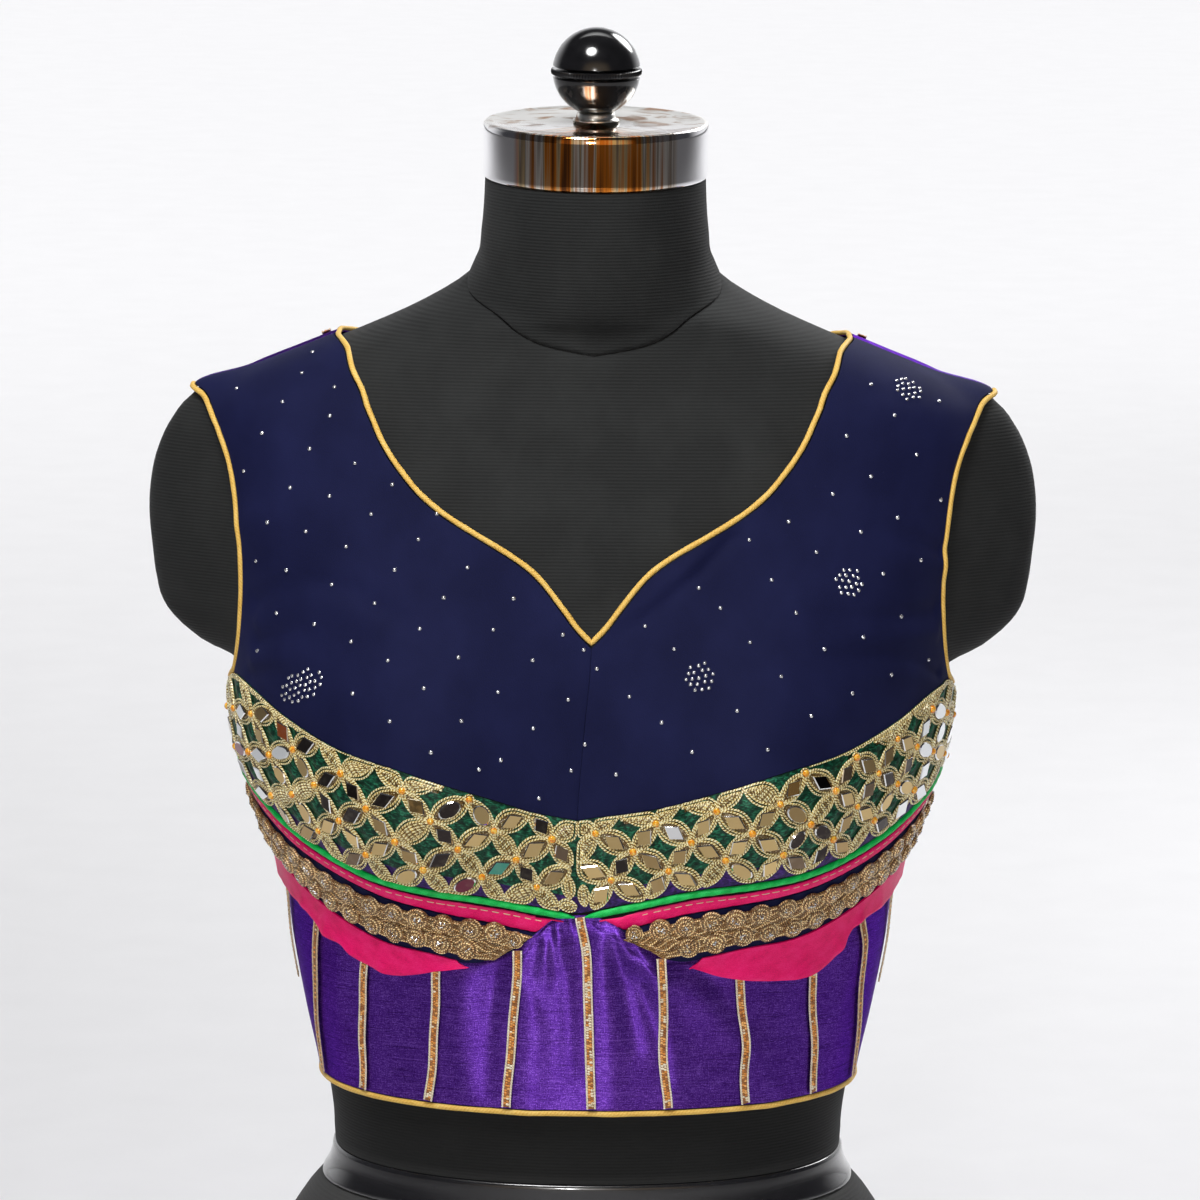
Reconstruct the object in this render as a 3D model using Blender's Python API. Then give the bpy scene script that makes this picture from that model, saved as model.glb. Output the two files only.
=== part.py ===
"""Choli blouse worn by a limbless jersey dress form.

The blouse is cut from flat pieces: two navy crepe fronts with a sweetheart neck, two bands of mirror work
under the bust, cord and bias pipings, a zari lace on a navy strip, a folded magenta frill, a gathered silk
midriff with sewn gold stripes, and two silk backs. Every piece is a thin closed wall that follows the form.

A place on the body is a height above the table, in millimetres, and a turn round the body in degrees:
0 is the centre front (-Y), 90 the wearer's left side (+X), 180 the centre back.
"""

import math

import bpy
import numpy as np

MM = 0.001

# Cloth and gaps, in millimetres
FORM_INSET = 0.6       # the form is this much slimmer than the body lines below
CLOTH_IN = 1.8         # body line to the inner face of the cloth
CLOTH_WALL = 1.2
SEAM = 0.4             # gap between two pieces sewn edge to edge
CORD_SEAM = 0.7        # and beside a cord, which bends more
LIE = 0.35             # gap under a trim that lies on a panel
FRONT_STRIPE_LIE = 0.8     # and under the stripes, which cross the panels' folds
BACK_STRIPE_LIE = 1.1
CLOTH_OUT = CLOTH_IN + CLOTH_WALL

# Trims: width across and how high they stand
PIPING = (2.6, 2.2)
PIPING_UNDER = 0.3     # a piping rolls this far under the edge it binds
GREEN_CORD = (4.0, 2.2)
MAGENTA_CORD = (5.6, 1.8)
STRIPE = (4.6, 0.8)
LACE_WALL = 1.4
STRIP_FOOT = 1.0       # the navy strip shows this much under the lace
FRILL_WALL = 1.0
FRILL_FLARE = 1.6      # the frill's lower edge stands off this much more
CORD_FOOT = 0.9        # share of a trim's width that its top keeps

# Heights along the form
HEM = 248.5
WAIST_TOP = 210.0
WAIST_LOW = 193.0
NECK_TOP = 684.0
CAP_TOP = 711.0
FORM_GAP = 0.3
FOOT_BEVEL = 3.0
BAND_REST = 0.6        # the waist band stands this much outside the jersey
CAP_LEAN = math.atan(0.045)
CAP_CENTRE = -1.0
MIDDLE = 0.76          # everything stands this much further back, so that the box is centred on the origin

# Rings of the body, from the hip to the neck cap
BODY_COLUMNS = ("height", "half_width", "front", "back", "squareness", "centre", "lean")
BODY = (
    (0, 166, 101, 112, 2.25, 4, 0),
    (40, 169, 104, 116, 2.25, 4, 0),
    (80, 170, 105, 118, 2.25, 4, 0),
    (110, 167, 104, 114, 2.20, 4, 0),
    (140, 160, 101, 106, 2.20, 3, 0),
    (165, 150, 97, 97, 2.15, 2, 0),
    (183, 139, 94, 90, 2.15, 1, 0),
    (200, 126, 91, 85, 2.15, 0, 0),
    (218, 125, 91, 84, 2.15, 0, 0),
    (247, 128.5, 93, 84, 2.20, 0, 0),
    (280, 135.5, 96, 86, 2.20, 0, 0),
    (313, 141.5, 99, 89, 2.25, 0, 0),
    (345, 146, 102, 93, 2.25, 0, 0),
    (375, 157, 103, 97, 2.30, 0, 0),
    (404, 168, 102, 101, 2.40, 0, 0),
    (427, 172, 99, 104, 2.50, 0, 0),
    (455, 172.5, 94, 106, 2.60, 0, 0),
    (490, 173, 87, 106, 2.70, 2, 0),
    (520, 176, 80, 104, 2.70, 4, 0),
    (545, 180, 73, 100, 2.60, 6, 0),
    (563, 184, 68, 94, 2.50, 8, 0),
    (576, 180, 64, 87, 2.40, 9, 0),
    (586, 167, 60, 78, 2.30, 10, 0),
    (597, 141, 57, 68, 2.20, 10, 0.01),
    (608, 113, 55, 61, 2.15, 10, 0.03),
    (618, 89, 54, 57, 2.10, 8, 0.08),
    (628, 68, 54, 56, 2.05, 5, 0.20),
    (642, 58, 54, 55, 2.0, 2, 0.30),
    (660, 55, 54, 54, 2.0, 0, 0.16),
    (684, 53.5, 54, 54, 2.0, -1, 0.05),
    (711, 53.5, 54, 54, 2.0, -1, 0.045),
)

# Rings of the rounded arm stumps: height, half_width, depth
ARM = (
    (446, 90, 20),
    (452, 168, 34),
    (457, 186, 40),
    (463, 196, 43),
    (471, 204.7, 46),
    (477, 208.5, 48),
    (488, 211.5, 50),
    (503, 213.5, 51),
    (519, 215, 50),
    (532, 214.5, 48),
    (550, 210.5, 44),
    (564, 203, 39),
    (575, 193, 32),
    (583, 179, 22),
    (590, 130, 12),
)
ARM_BLEND = 18.0       # a higher number joins stump and chest more sharply

# The fullness that the bust cups give the fronts
BUST = {"x": 86.0, "height": 398.0, "out": 26.0, "half_width": 52.0, "above": 78.0, "below": 50.0}

# Edges as turn, height: the neck from the centre to the shoulder, the armhole from below to the shoulder
NECK_FRONT = (
    (0, 470.5), (2.7, 478.4), (5.1, 487.8), (8.8, 501.5), (12.5, 510.3), (18, 520.3), (23, 530.2),
    (26.5, 539.6), (29.2, 550.7), (31.4, 562), (34.4, 574.8), (41, 587), (56, 598), (70, 602.3), (90, 603.7),
)
ARMHOLE_FRONT = (
    (72, 446.5), (67.5, 459.5), (64.8, 474.7), (62.9, 492), (61.8, 511), (61.8, 528.5), (62.6, 544.9),
    (64.5, 559), (71.5, 570.2), (81.5, 577.4), (90, 580),
)
NECK_BACK = (
    (180, 545), (165, 551), (156, 561), (150, 573), (144, 585), (129, 597), (105, 602.6), (90, 603.7),
)
ARMHOLE_BACK = (
    (90, 437), (100, 438.5), (108, 444), (113, 454), (116.5, 470), (118.5, 492), (119, 517), (118.5, 540),
    (116, 557), (109, 570.5), (99.5, 577.5), (90, 580),
)

# Heights of the seams under the bust at each turn, the same on both sides
SEAM_COLUMNS = ("turn", "band_top", "green", "magenta", "lace_top", "lace_low", "frill_low")
SEAMS = (
    (0, 391.5, 344.5, 339.0, 334.2, 318.0, 316.0),
    (10, 397, 350, 344.3, 339.5, 320.0, 318.0),
    (20, 407, 356, 350.2, 345.4, 322.0, 320.5),
    (30, 416.5, 360, 354.2, 349.4, 327.0, 313.5),
    (40, 423, 364, 358.2, 353.4, 330.0, 311.0),
    (50, 433, 371, 364.8, 360.0, 337.0, 316.0),
    (60, 443, 380, 373.3, 368.5, 346.0, 328.0),
    (70, 447, 391, 384, 378.5, 355.0, 338.0),
    (80, 441, 399, 392, 386.5, 362.0, 345.0),
    (90, 437, 404, 397, 391.5, 367.0, 349.0),
)

# The gathered top edge of the midriff, from its peak under the centre seam
PEAK = ((0, 343.5), (3, 342.5), (6, 339), (9, 334.5), (12, 329.5), (15, 325.5), (18, 322), (21, 320))

# Where each trim meets the gathered peak, in degrees from the centre
INNER_END = {"green": 2.4, "magenta": 6.6, "strip_top": 7.8, "strip_low": 21.5, "lace_top": 9.6,
             "lace_low": 21.5, "frill": 22.5}

# Soft folds, each a ridge from one place to another: turn, height, end_turn, end_height, rise, half_width
FOLDS = (
    (-9.5, 326, -12.5, 258, 2.4, 8.0),
    (-4.5, 334, -4.0, 282, 1.3, 5.0),
    (3.0, 338, 4.8, 262, 1.9, 7.0),
    (6.0, 334, 27.0, 272, 3.0, 8.0),
    (-58, 505, -40, 468, 1.8, 9.0),
    (59, 500, 43, 462, 1.8, 9.0),
)
DEGREE = 2.15          # millimetres along the cloth for one degree, near the front

# Gold stripes lie on the straight grain. Distances are along the cloth from the centre line.
STRIPE_FOOT = HEM + 1.0
STRIPE_TOP = 335.0     # the height at which the distance at the top is measured
STRIPE_END = 2.5       # a stripe ends this much below the edge over it
# In front: distance at the hem, distance at the top, foot
FRONT_STRIPES = (
    (0, 0, STRIPE_FOOT),
    (37.5, 33.5, STRIPE_FOOT),
    (76, 71.5, STRIPE_FOOT),
    (114.5, 110, STRIPE_FOOT),
    (152, 143, STRIPE_FOOT),
    (188, 178, 293),
)
# At the back: distance, foot, head
BACK_STRIPES = (
    (19, STRIPE_FOOT, 542),
    (56, STRIPE_FOOT, 548),
    (94, STRIPE_FOOT, 566),
    (131, STRIPE_FOOT, 600),
    (163, 263, 546),
)
BLADE = 540.0          # above this height the back stripes keep their place across instead
BLADE_EASE = 20.0      # below the blades the stripes have closer points over this height

# Turns at which the panels and trims stop beside the centre and side seams
CENTRE_EDGE, SIDE_EDGE, TRIM_EDGE = 0.1, 89.8, 89.5
BACK_SIDE_EDGE, BACK_CENTRE_EDGE = 90.2, 179.9
BAND_GAP = 0.6         # between the magenta piping and the strip, and the lace and the frill

# Steps of the meshes
BAND_TURNS = np.arange(0.0, 91.0, 6.0)
ARMPIT = 72.0          # the fronts reach this turn; beyond it the mirror band meets the armhole
FRONT_ROWS = (4, 11)
BACK_COLUMNS, BACK_ROWS = (3, 6), (6, 10)   # under and beside the armhole; below and above its foot
ARMHOLE_STEPS = BACK_COLUMNS[0] + BACK_ROWS[1]
CENTRE_STEPS = 2       # rows between the underarm line and the neck, at the centre back
UNDERARM_LINE = 478.0
FORM_COLUMNS = 48
KNOB_SEGMENTS = 24

# Knob and collar on the neck cap
COLLAR_RADIUS, COLLAR_HEIGHT = 9.5, 4.0
KNOB_RADIUS, KNOB_FLAT = 21.0, 8.6
KNOB_RING = (1.4, 0.8)     # half height and how far it stands out


def clear_scene():
    for thing in list(bpy.data.objects):
        bpy.data.objects.remove(thing, do_unlink=True)


def finish_of(name, colour, roughness, metallic=0.0):
    """The sub-part's own material."""
    material = bpy.data.materials.new(name)
    material.use_nodes = True
    shader = material.node_tree.nodes["Principled BSDF"]
    shader.inputs["Base Color"].default_value = (*colour, 1.0)
    shader.inputs["Roughness"].default_value = roughness
    shader.inputs["Metallic"].default_value = metallic
    material.diffuse_color = (*colour, 1.0)
    return material


def smooth(rows, at, column=1):
    """A column of a table on a smooth curve through its rows, at values of its first column."""
    table = np.asarray(rows, float)
    xs, ys = table[:, 0], table[:, column]
    if xs[0] > xs[-1]:
        xs, ys = xs[::-1], ys[::-1]
    step = np.diff(xs)
    slope = np.diff(ys) / step
    tangent = np.empty_like(ys)
    tangent[0], tangent[-1] = slope[0], slope[-1]
    tangent[1:-1] = (slope[:-1] * step[1:] + slope[1:] * step[:-1]) / (step[:-1] + step[1:])
    at = np.asarray(at, float)
    i = np.clip(np.searchsorted(xs, at) - 1, 0, len(step) - 1)
    t = np.clip((at - xs[i]) / step[i], 0.0, 1.0)
    return (
        (2 * t**3 - 3 * t**2 + 1) * ys[i]
        + (t**3 - 2 * t**2 + t) * step[i] * tangent[i]
        + (3 * t**2 - 2 * t**3) * ys[i + 1]
        + (t**3 - t**2) * step[i] * tangent[i + 1]
    )


def seam(name, turn):
    """Height of a named seam at a turn of either sign."""
    return smooth(SEAMS, np.abs(turn), SEAM_COLUMNS.index(name))


def body_line(height, turn):
    """Points of the body's surface: rings through the table, joined to the arm stumps, with the bust."""
    height = np.asarray(height, float)
    angle = np.radians(np.asarray(turn, float))
    ring = {name: smooth(BODY, height, i) for i, name in enumerate(BODY_COLUMNS) if i}
    sine, cosine = np.sin(angle), np.cos(angle)
    depth = np.where(cosine > 0, ring["front"], ring["back"])
    power = ring["squareness"]
    reach = (np.abs(sine) ** power + np.abs(cosine) ** power) ** (-1.0 / power)
    x = reach * ring["half_width"] * sine
    y = -reach * depth * cosine

    arm_width = np.maximum(smooth(ARM, height, 1), 1.0)
    arm_depth = np.maximum(smooth(ARM, height, 2), 1.0)
    arm_reach = (np.abs(x / arm_width) ** 2 + np.abs(y / arm_depth) ** 2 + 1e-9) ** -0.5
    beside_arm = (height > ARM[0][0]) & (height < ARM[-1][0])
    joined = np.where(beside_arm, (1.0 + arm_reach**ARM_BLEND) ** (1.0 / ARM_BLEND), 1.0)
    x, y = x * joined, y * joined + ring["centre"] + MIDDLE
    z = height + ring["lean"] * y

    away = z - BUST["height"]
    rise = np.exp(-((away / np.where(away > 0, BUST["above"], BUST["below"])) ** 2))
    cups = sum(np.exp(-(((x - side * BUST["x"]) / BUST["half_width"]) ** 2)) for side in (-1, 1))
    facing = np.clip(3.0 * cosine, 0.0, 1.0)
    facing = facing * facing * (3.0 - 2.0 * facing)
    y = y - BUST["out"] * rise * cups * facing
    return np.stack(np.broadcast_arrays(x, y, z), -1)


def fold_rise(height, turn):
    """How far the soft folds lift the cloth off the body line."""
    total = 0.0
    for t0, h0, t1, h1, rise, half_width in FOLDS:
        start = np.array([t0 * DEGREE, h0])
        along = np.array([t1 * DEGREE, h1]) - start
        place = np.stack(np.broadcast_arrays(turn * DEGREE, height), -1) - start
        share = np.clip(place @ along / (along @ along), 0.0, 1.0)
        off = np.linalg.norm(place - share[..., None] * along, axis=-1)
        total = total + rise * (1.0 - 0.6 * share) * np.exp(-((off / half_width) ** 2))
    return total


def cloth_line(height, turn, out):
    """Points this far outside the body line, along its normal, with the folds."""
    height, turn = np.broadcast_arrays(np.asarray(height, float), np.asarray(turn, float))
    step = 0.5
    up = body_line(height + step, turn) - body_line(height - step, turn)
    across = body_line(height, turn + step) - body_line(height, turn - step)
    normal = np.cross(across, up)
    normal /= np.linalg.norm(normal, axis=-1, keepdims=True)
    lift = np.asarray(out + fold_rise(height, turn))
    return body_line(height, turn) + lift[..., None] * normal


def new_object(name, vertices, faces, material, smooth_angle=50.0):
    mesh = bpy.data.meshes.new(name)
    mesh.from_pydata([tuple(v * MM) for v in vertices], [], faces)
    mesh.update()
    mesh.shade_smooth()
    mesh.set_sharp_from_angle(angle=math.radians(smooth_angle))
    thing = bpy.data.objects.new(name, mesh)
    thing.data.materials.append(material)
    bpy.context.scene.collection.objects.link(thing)
    return thing


def closed_sheet(name, height, turn, low, high, material, side=-1, notch=(0, 0)):
    """A wall over a grid of places: rows go up and columns to the wearer's left. `side` mirrors its creases.

    `notch` leaves out this many (rows at the top, columns at the side seam), for the armhole of a back.
    """
    inner = cloth_line(height, turn, low)
    outer = cloth_line(height, turn, high)
    rows, columns = inner.shape[:2]
    count = rows * columns
    grid = np.arange(count).reshape(rows, columns)
    faces, edges = [], set()
    for r in range(rows - 1):
        for c in range(columns - 1):
            from_seam = c if side > 0 else columns - 2 - c
            if r >= rows - 1 - notch[0] and from_seam < notch[1]:
                continue
            cell = (grid[r, c], grid[r, c + 1], grid[r + 1, c + 1], grid[r + 1, c])
            edges.update(zip(cell, cell[1:] + cell[:1]))
            for i, j, k in ((0, 1, 2), (0, 2, 3)) if side < 0 else ((0, 1, 3), (1, 2, 3)):
                faces.append((cell[i] + count, cell[j] + count, cell[k] + count))
                faces.append((cell[k], cell[j], cell[i]))
    for a, b in sorted(edges):
        if (b, a) not in edges:
            faces.append((a, b, b + count, a + count))
    used = sorted({v for face in faces for v in face})
    place = {v: i for i, v in enumerate(used)}
    vertices = np.concatenate([inner.reshape(-1, 3), outer.reshape(-1, 3)])[used]
    return new_object(name, vertices, [tuple(place[v] for v in face) for face in faces], material)


def trim(name, height, turn, size, low, material, closed=False, aside=0.0, side=-1):
    """A cord or ribbon along a line of places. It stands `low` off the body, moved `aside` to its left."""
    width, thick = size
    path = cloth_line(height, turn, low)
    top = cloth_line(height, turn, low + thick)
    normal = top - path
    normal /= np.linalg.norm(normal, axis=-1, keepdims=True)
    if closed:
        ahead, behind = np.roll(path, -1, 0) - path, path - np.roll(path, 1, 0)
    else:
        ahead = np.diff(path, axis=0, append=path[-1:] * 2 - path[-2:-1])
        behind = np.diff(path, axis=0, prepend=path[:1] * 2 - path[1:2])
    ahead /= np.linalg.norm(ahead, axis=-1, keepdims=True)
    behind /= np.linalg.norm(behind, axis=-1, keepdims=True)
    tangent = ahead + behind
    tangent /= np.linalg.norm(tangent, axis=-1, keepdims=True)
    left = np.cross(normal, tangent)
    left /= np.linalg.norm(left, axis=-1, keepdims=True)
    mitre = 1.0 / np.maximum(np.sum(tangent * ahead, axis=-1, keepdims=True), 0.5)
    corners = [
        path + left * mitre * (aside + width / 2),
        path + left * mitre * (aside - width / 2),
        top + left * mitre * (aside - width / 2 * CORD_FOOT),
        top + left * mitre * (aside + width / 2 * CORD_FOOT),
    ]
    count = len(path)
    vertices = np.concatenate(corners)
    faces = []
    for i in range(count if closed else count - 1):
        j = (i + 1) % count
        for corner in range(4):
            a, b = corner * count, (corner + 1) % 4 * count
            cell = (a + i, a + j, b + j, b + i)
            for p, q, r in ((0, 1, 2), (0, 2, 3)) if side < 0 else ((0, 1, 3), (1, 2, 3)):
                faces.append((cell[p], cell[q], cell[r]))
    if not closed:
        faces.append(tuple(corner * count for corner in range(4)))
        faces.append(tuple(corner * count + count - 1 for corner in (3, 2, 1, 0)))
    return new_object(name, vertices, faces, material)


def resample(rows, steps, fine=40):
    """Places at even distances along a smooth edge, as (turn, height) rows, in the order of the table."""
    table = np.asarray(rows, float)
    key = np.arange(len(table), dtype=float)
    at = np.linspace(0, len(table) - 1, fine * len(table))
    turn = smooth(np.column_stack([key, table[:, 0]]), at)
    height = smooth(np.column_stack([key, table[:, 1]]), at)
    path = body_line(height, turn)
    length = np.concatenate([[0], np.cumsum(np.linalg.norm(np.diff(path, axis=0), axis=1))])
    even = np.linspace(0, length[-1], steps + 1)
    return np.column_stack([np.interp(even, length, turn), np.interp(even, length, height)])


def patch(bottom, top, inner, outer):
    """A grid between four edges of places, each given as (turn, height) rows."""
    u = np.linspace(0, 1, len(bottom))[None, :, None]
    v = np.linspace(0, 1, len(inner))[:, None, None]
    ruled = (1 - v) * bottom[None] + v * top[None] + (1 - u) * inner[:, None] + u * outer[:, None]
    corner = (
        (1 - u) * (1 - v) * bottom[0] + u * (1 - v) * bottom[-1] + (1 - u) * v * top[0] + u * v * top[-1]
    )
    grid = ruled - corner
    return grid[..., 1], grid[..., 0]


def joined_edges(lower, upper):
    return np.concatenate([lower, upper[1:]])


def mirrored(height, turn, side):
    """The same places on one side of the body, with columns still running to the wearer's left."""
    if side > 0:
        return height, turn
    return height[..., ::-1], -turn[..., ::-1]


SIDES = ((1, "left"), (-1, "right"))


def navy_fronts(material):
    rows = FRONT_ROWS[0] + 1
    v_height = NECK_FRONT[0][1]
    for side, word in SIDES:
        turns = BAND_TURNS[BAND_TURNS <= ARMPIT]
        bottom = np.column_stack([turns, seam("band_top", turns) + SEAM])
        bottom[0, 0] = CENTRE_EDGE
        centre = np.column_stack([np.full(rows, CENTRE_EDGE), np.linspace(bottom[0, 1], v_height, rows)])
        inner = joined_edges(centre, resample(((CENTRE_EDGE, v_height), *NECK_FRONT[1:]), FRONT_ROWS[1]))
        outer = resample(ARMHOLE_FRONT, sum(FRONT_ROWS))
        outer[0] = bottom[-1]
        inner[-1, 0] = outer[-1, 0] = SIDE_EDGE
        top = np.linspace(inner[-1], outer[-1], len(turns))
        height, turn = mirrored(*patch(bottom, top, inner, outer), side)
        closed_sheet(f"navy_front_{word}", height, turn, CLOTH_IN, CLOTH_OUT, material, side)


def strip_between(low, high, start_low, start_high, end, columns, rows):
    """A grid between two named seams, from slanted inner ends to the side seam."""
    v = np.linspace(0, 1, rows + 1)[:, None]
    start = start_low + (start_high - start_low) * v
    u = np.linspace(0, 1, columns + 1)[None, :]
    turn = start + (end - start) * u
    height = low(turn) * (1 - v) + high(turn) * v
    return height, turn


def mirror_bands(material):
    for side, word in SIDES:
        v = np.linspace(0, 1, 4)[:, None]
        turn = np.broadcast_to(BAND_TURNS, (4, len(BAND_TURNS))).copy()
        low = seam("green", turn) + GREEN_CORD[0] / 2 + CORD_SEAM
        height = low * (1 - v) + seam("band_top", turn) * v
        turn[:, 0] = CENTRE_EDGE
        turn[:, -1] = SIDE_EDGE
        height, turn = mirrored(height, turn, side)
        closed_sheet(f"mirror_band_{word}", height, turn, CLOTH_IN, CLOTH_OUT, material, side)


def cords(green, magenta):
    for side, word in SIDES:
        for name, start, size, material in (
            ("green", INNER_END["green"], GREEN_CORD, green),
            ("magenta", INNER_END["magenta"], MAGENTA_CORD, magenta),
        ):
            turn = np.concatenate([[start], BAND_TURNS[BAND_TURNS > start + 2]])
            turn[-1] = TRIM_EDGE
            height = seam(name, turn)
            height, turn = mirrored(height, turn, side)
            trim(f"{name}_piping_{word}", height, turn, size, CLOTH_IN, material)


def navy_strips(material):
    for side, word in SIDES:
        height, turn = strip_between(
            lambda t: seam("lace_low", t) - STRIP_FOOT,
            lambda t: seam("magenta", t) - MAGENTA_CORD[0] / 2 - BAND_GAP,
            INNER_END["strip_low"], INNER_END["strip_top"], SIDE_EDGE, 14, 2,
        )
        height, turn = mirrored(height, turn, side)
        closed_sheet(f"navy_strip_{word}", height, turn, CLOTH_IN, CLOTH_OUT, material, side)


def zari_laces(material):
    low = CLOTH_OUT + LIE
    for side, word in SIDES:
        height, turn = strip_between(
            lambda t: seam("lace_low", t), lambda t: seam("lace_top", t),
            INNER_END["lace_low"], INNER_END["lace_top"], TRIM_EDGE, 14, 2,
        )
        height, turn = mirrored(height, turn, side)
        closed_sheet(f"zari_lace_{word}", height, turn, low, low + LACE_WALL, material, side)


def magenta_frills(material):
    """The folded frill hangs from the lace over the midriff and stands off it a little at its wavy edge."""
    low = CLOTH_OUT + LIE
    for side, word in SIDES:
        height, turn = strip_between(
            lambda t: seam("frill_low", t), lambda t: seam("lace_low", t) - BAND_GAP,
            INNER_END["frill"], INNER_END["frill"] + 1.5, TRIM_EDGE, 16, 2,
        )
        flare = low + np.linspace(FRILL_FLARE, 0.0, 3)[:, None] * np.ones_like(turn)
        height, turn = mirrored(height, turn, side)
        closed_sheet(f"magenta_frill_{word}", height, turn, flare, flare + FRILL_WALL, material, side)


def midriff_top(turn):
    """The midriff's upper edge: the gathered peak, then the foot of the navy strip."""
    away = np.abs(turn)
    peak = smooth(PEAK, np.minimum(away, PEAK[-1][0]))
    strip = seam("lace_low", turn) - STRIP_FOOT - 4 * SEAM
    return np.where(away < PEAK[-1][0], peak, strip)


def midriff(material):
    gathered = np.linspace(-PEAK[-1][0] + 1.5, PEAK[-1][0] - 1.5, 14)
    plain = np.linspace(PEAK[-1][0], SIDE_EDGE, 11)
    turn = np.concatenate([-plain[::-1], gathered, plain])
    v = np.linspace(0, 1, 7)[:, None]
    top = midriff_top(turn)
    height = HEM * (1 - v) + top[None] * v
    closed_sheet("silk_midriff", height, np.broadcast_to(turn, height.shape), CLOTH_IN, CLOTH_OUT, material)


def back_grid():
    """Places of one back: a lower patch up to the underarm line, and an upper one beside the armhole."""
    lower, upper = BACK_ROWS
    under, across = BACK_COLUMNS
    armhole = resample(ARMHOLE_BACK, ARMHOLE_STEPS)
    armhole[0, 0] = armhole[-1, 0] = BACK_SIDE_EDGE
    neck = resample(NECK_BACK, upper - CENTRE_STEPS)
    neck[-1, 0] = BACK_SIDE_EDGE
    neck[0, 0] = BACK_CENTRE_EDGE
    line = np.linspace(armhole[under], (BACK_CENTRE_EDGE, UNDERARM_LINE), across + 1)
    top = joined_edges(armhole[: under + 1], line)
    hem = np.linspace((BACK_SIDE_EDGE, HEM), (BACK_CENTRE_EDGE, HEM), under + across + 1)
    side_seam = np.linspace(hem[0], top[0], lower + 1)
    centre = np.linspace(hem[-1], top[-1], lower + 1)
    low_height, low_turn = patch(hem, top, side_seam, centre)
    centre = joined_edges(np.linspace(line[-1], neck[0], CENTRE_STEPS + 1), neck)
    shoulder = np.linspace(armhole[-1], centre[-1], across + 1)
    high_height, high_turn = patch(line, shoulder, armhole[under:], centre)
    pad = ((0, 0), (under, 0))
    height = np.concatenate([low_height, np.pad(high_height[1:], pad, "edge")])
    turn = np.concatenate([low_turn, np.pad(high_turn[1:], pad, "edge")])
    return height, turn


def backs(material):
    for side, word in SIDES:
        height, turn = mirrored(*back_grid(), side)
        notch = (BACK_ROWS[1], BACK_COLUMNS[0])
        closed_sheet(f"silk_back_{word}", height, turn, CLOTH_IN, CLOTH_OUT, material, side, notch)


def turn_at_distance(height, distance, back=False):
    """The turn that lies this far along the cloth from the centre line, or straight up over the blades."""
    sweep = np.linspace(0, 90, 91)
    turns = 180 - sweep if back else sweep
    found = []
    for h, d in zip(height, distance):
        ring = body_line(np.full_like(turns, min(h, BLADE)), turns)
        length = np.concatenate([[0], np.cumsum(np.linalg.norm(np.diff(ring, axis=0), axis=1))])
        turn = np.interp(d, length, turns)
        if h > BLADE:
            upper = body_line(np.full_like(turns, h), turns)
            turn = np.interp(np.interp(d, length, ring[:, 0]), upper[:, 0], turns)
        found.append(turn)
    return np.array(found)


def front_stripes(material):
    low = CLOTH_OUT + FRONT_STRIPE_LIE
    for row, (at_hem, at_top, foot) in enumerate(FRONT_STRIPES):
        top_turn = turn_at_distance([STRIPE_TOP], [at_top])[0]
        covered = top_turn > INNER_END["frill"]
        head = (seam("frill_low", top_turn) if covered else midriff_top(top_turn)) - STRIPE_END
        height = np.linspace(foot, head, 8)
        share = (height - HEM) / (head - HEM)
        turn = turn_at_distance(height, at_hem + (at_top - at_hem) * share)
        for side in (1, -1) if row else (1,):
            name = f"front_stripe_{row * side + len(FRONT_STRIPES):02d}"
            trim(name, height, turn * side, STRIPE, low, material)


def back_stripes(material):
    low = CLOTH_OUT + BACK_STRIPE_LIE
    for row, (distance, foot, head) in enumerate(BACK_STRIPES):
        lower = np.linspace(foot, BLADE - BLADE_EASE, 8)
        upper = np.linspace(BLADE - BLADE_EASE, head, 3 + int(head - BLADE) // 8)
        height = joined_edges(lower, upper)
        turn = turn_at_distance(height, np.full_like(height, distance), back=True)
        for side, word in SIDES:
            trim(f"back_stripe_{word}_{row + 1}", height, turn * side, STRIPE, low, material)


def edge_pipings(material):
    low = CLOTH_IN - PIPING_UNDER
    aside = PIPING[0] / 2 + CORD_SEAM
    front = resample(NECK_FRONT, FRONT_ROWS[1])
    back = resample(NECK_BACK, BACK_ROWS[1] - CENTRE_STEPS)
    left_half = np.concatenate([front, back[::-1][1:]])
    right_half = left_half[::-1][1:-1] * (-1, 1)
    neck = np.concatenate([left_half, right_half])
    trim("neck_piping", neck[:, 1], neck[:, 0], PIPING, low, material, closed=True, aside=aside)
    for side, word in SIDES:
        turns = BAND_TURNS[BAND_TURNS > ARMPIT][::-1]
        under = np.column_stack([turns, seam("band_top", turns)])
        front = resample(ARMHOLE_FRONT, sum(FRONT_ROWS))
        back = resample(ARMHOLE_BACK, ARMHOLE_STEPS)
        hole = np.concatenate([under, front, back[::-1][1:-1]])
        hole = hole[::-1] if side > 0 else hole
        trim(f"armhole_piping_{word}", hole[:, 1], hole[:, 0] * side, PIPING, low, material, closed=True,
             aside=aside, side=side)
    turn = np.linspace(-180, 180, 49)[:-1]
    trim("hem_piping", np.full_like(turn, HEM), turn, PIPING, low, material, closed=True, aside=-aside)


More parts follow.
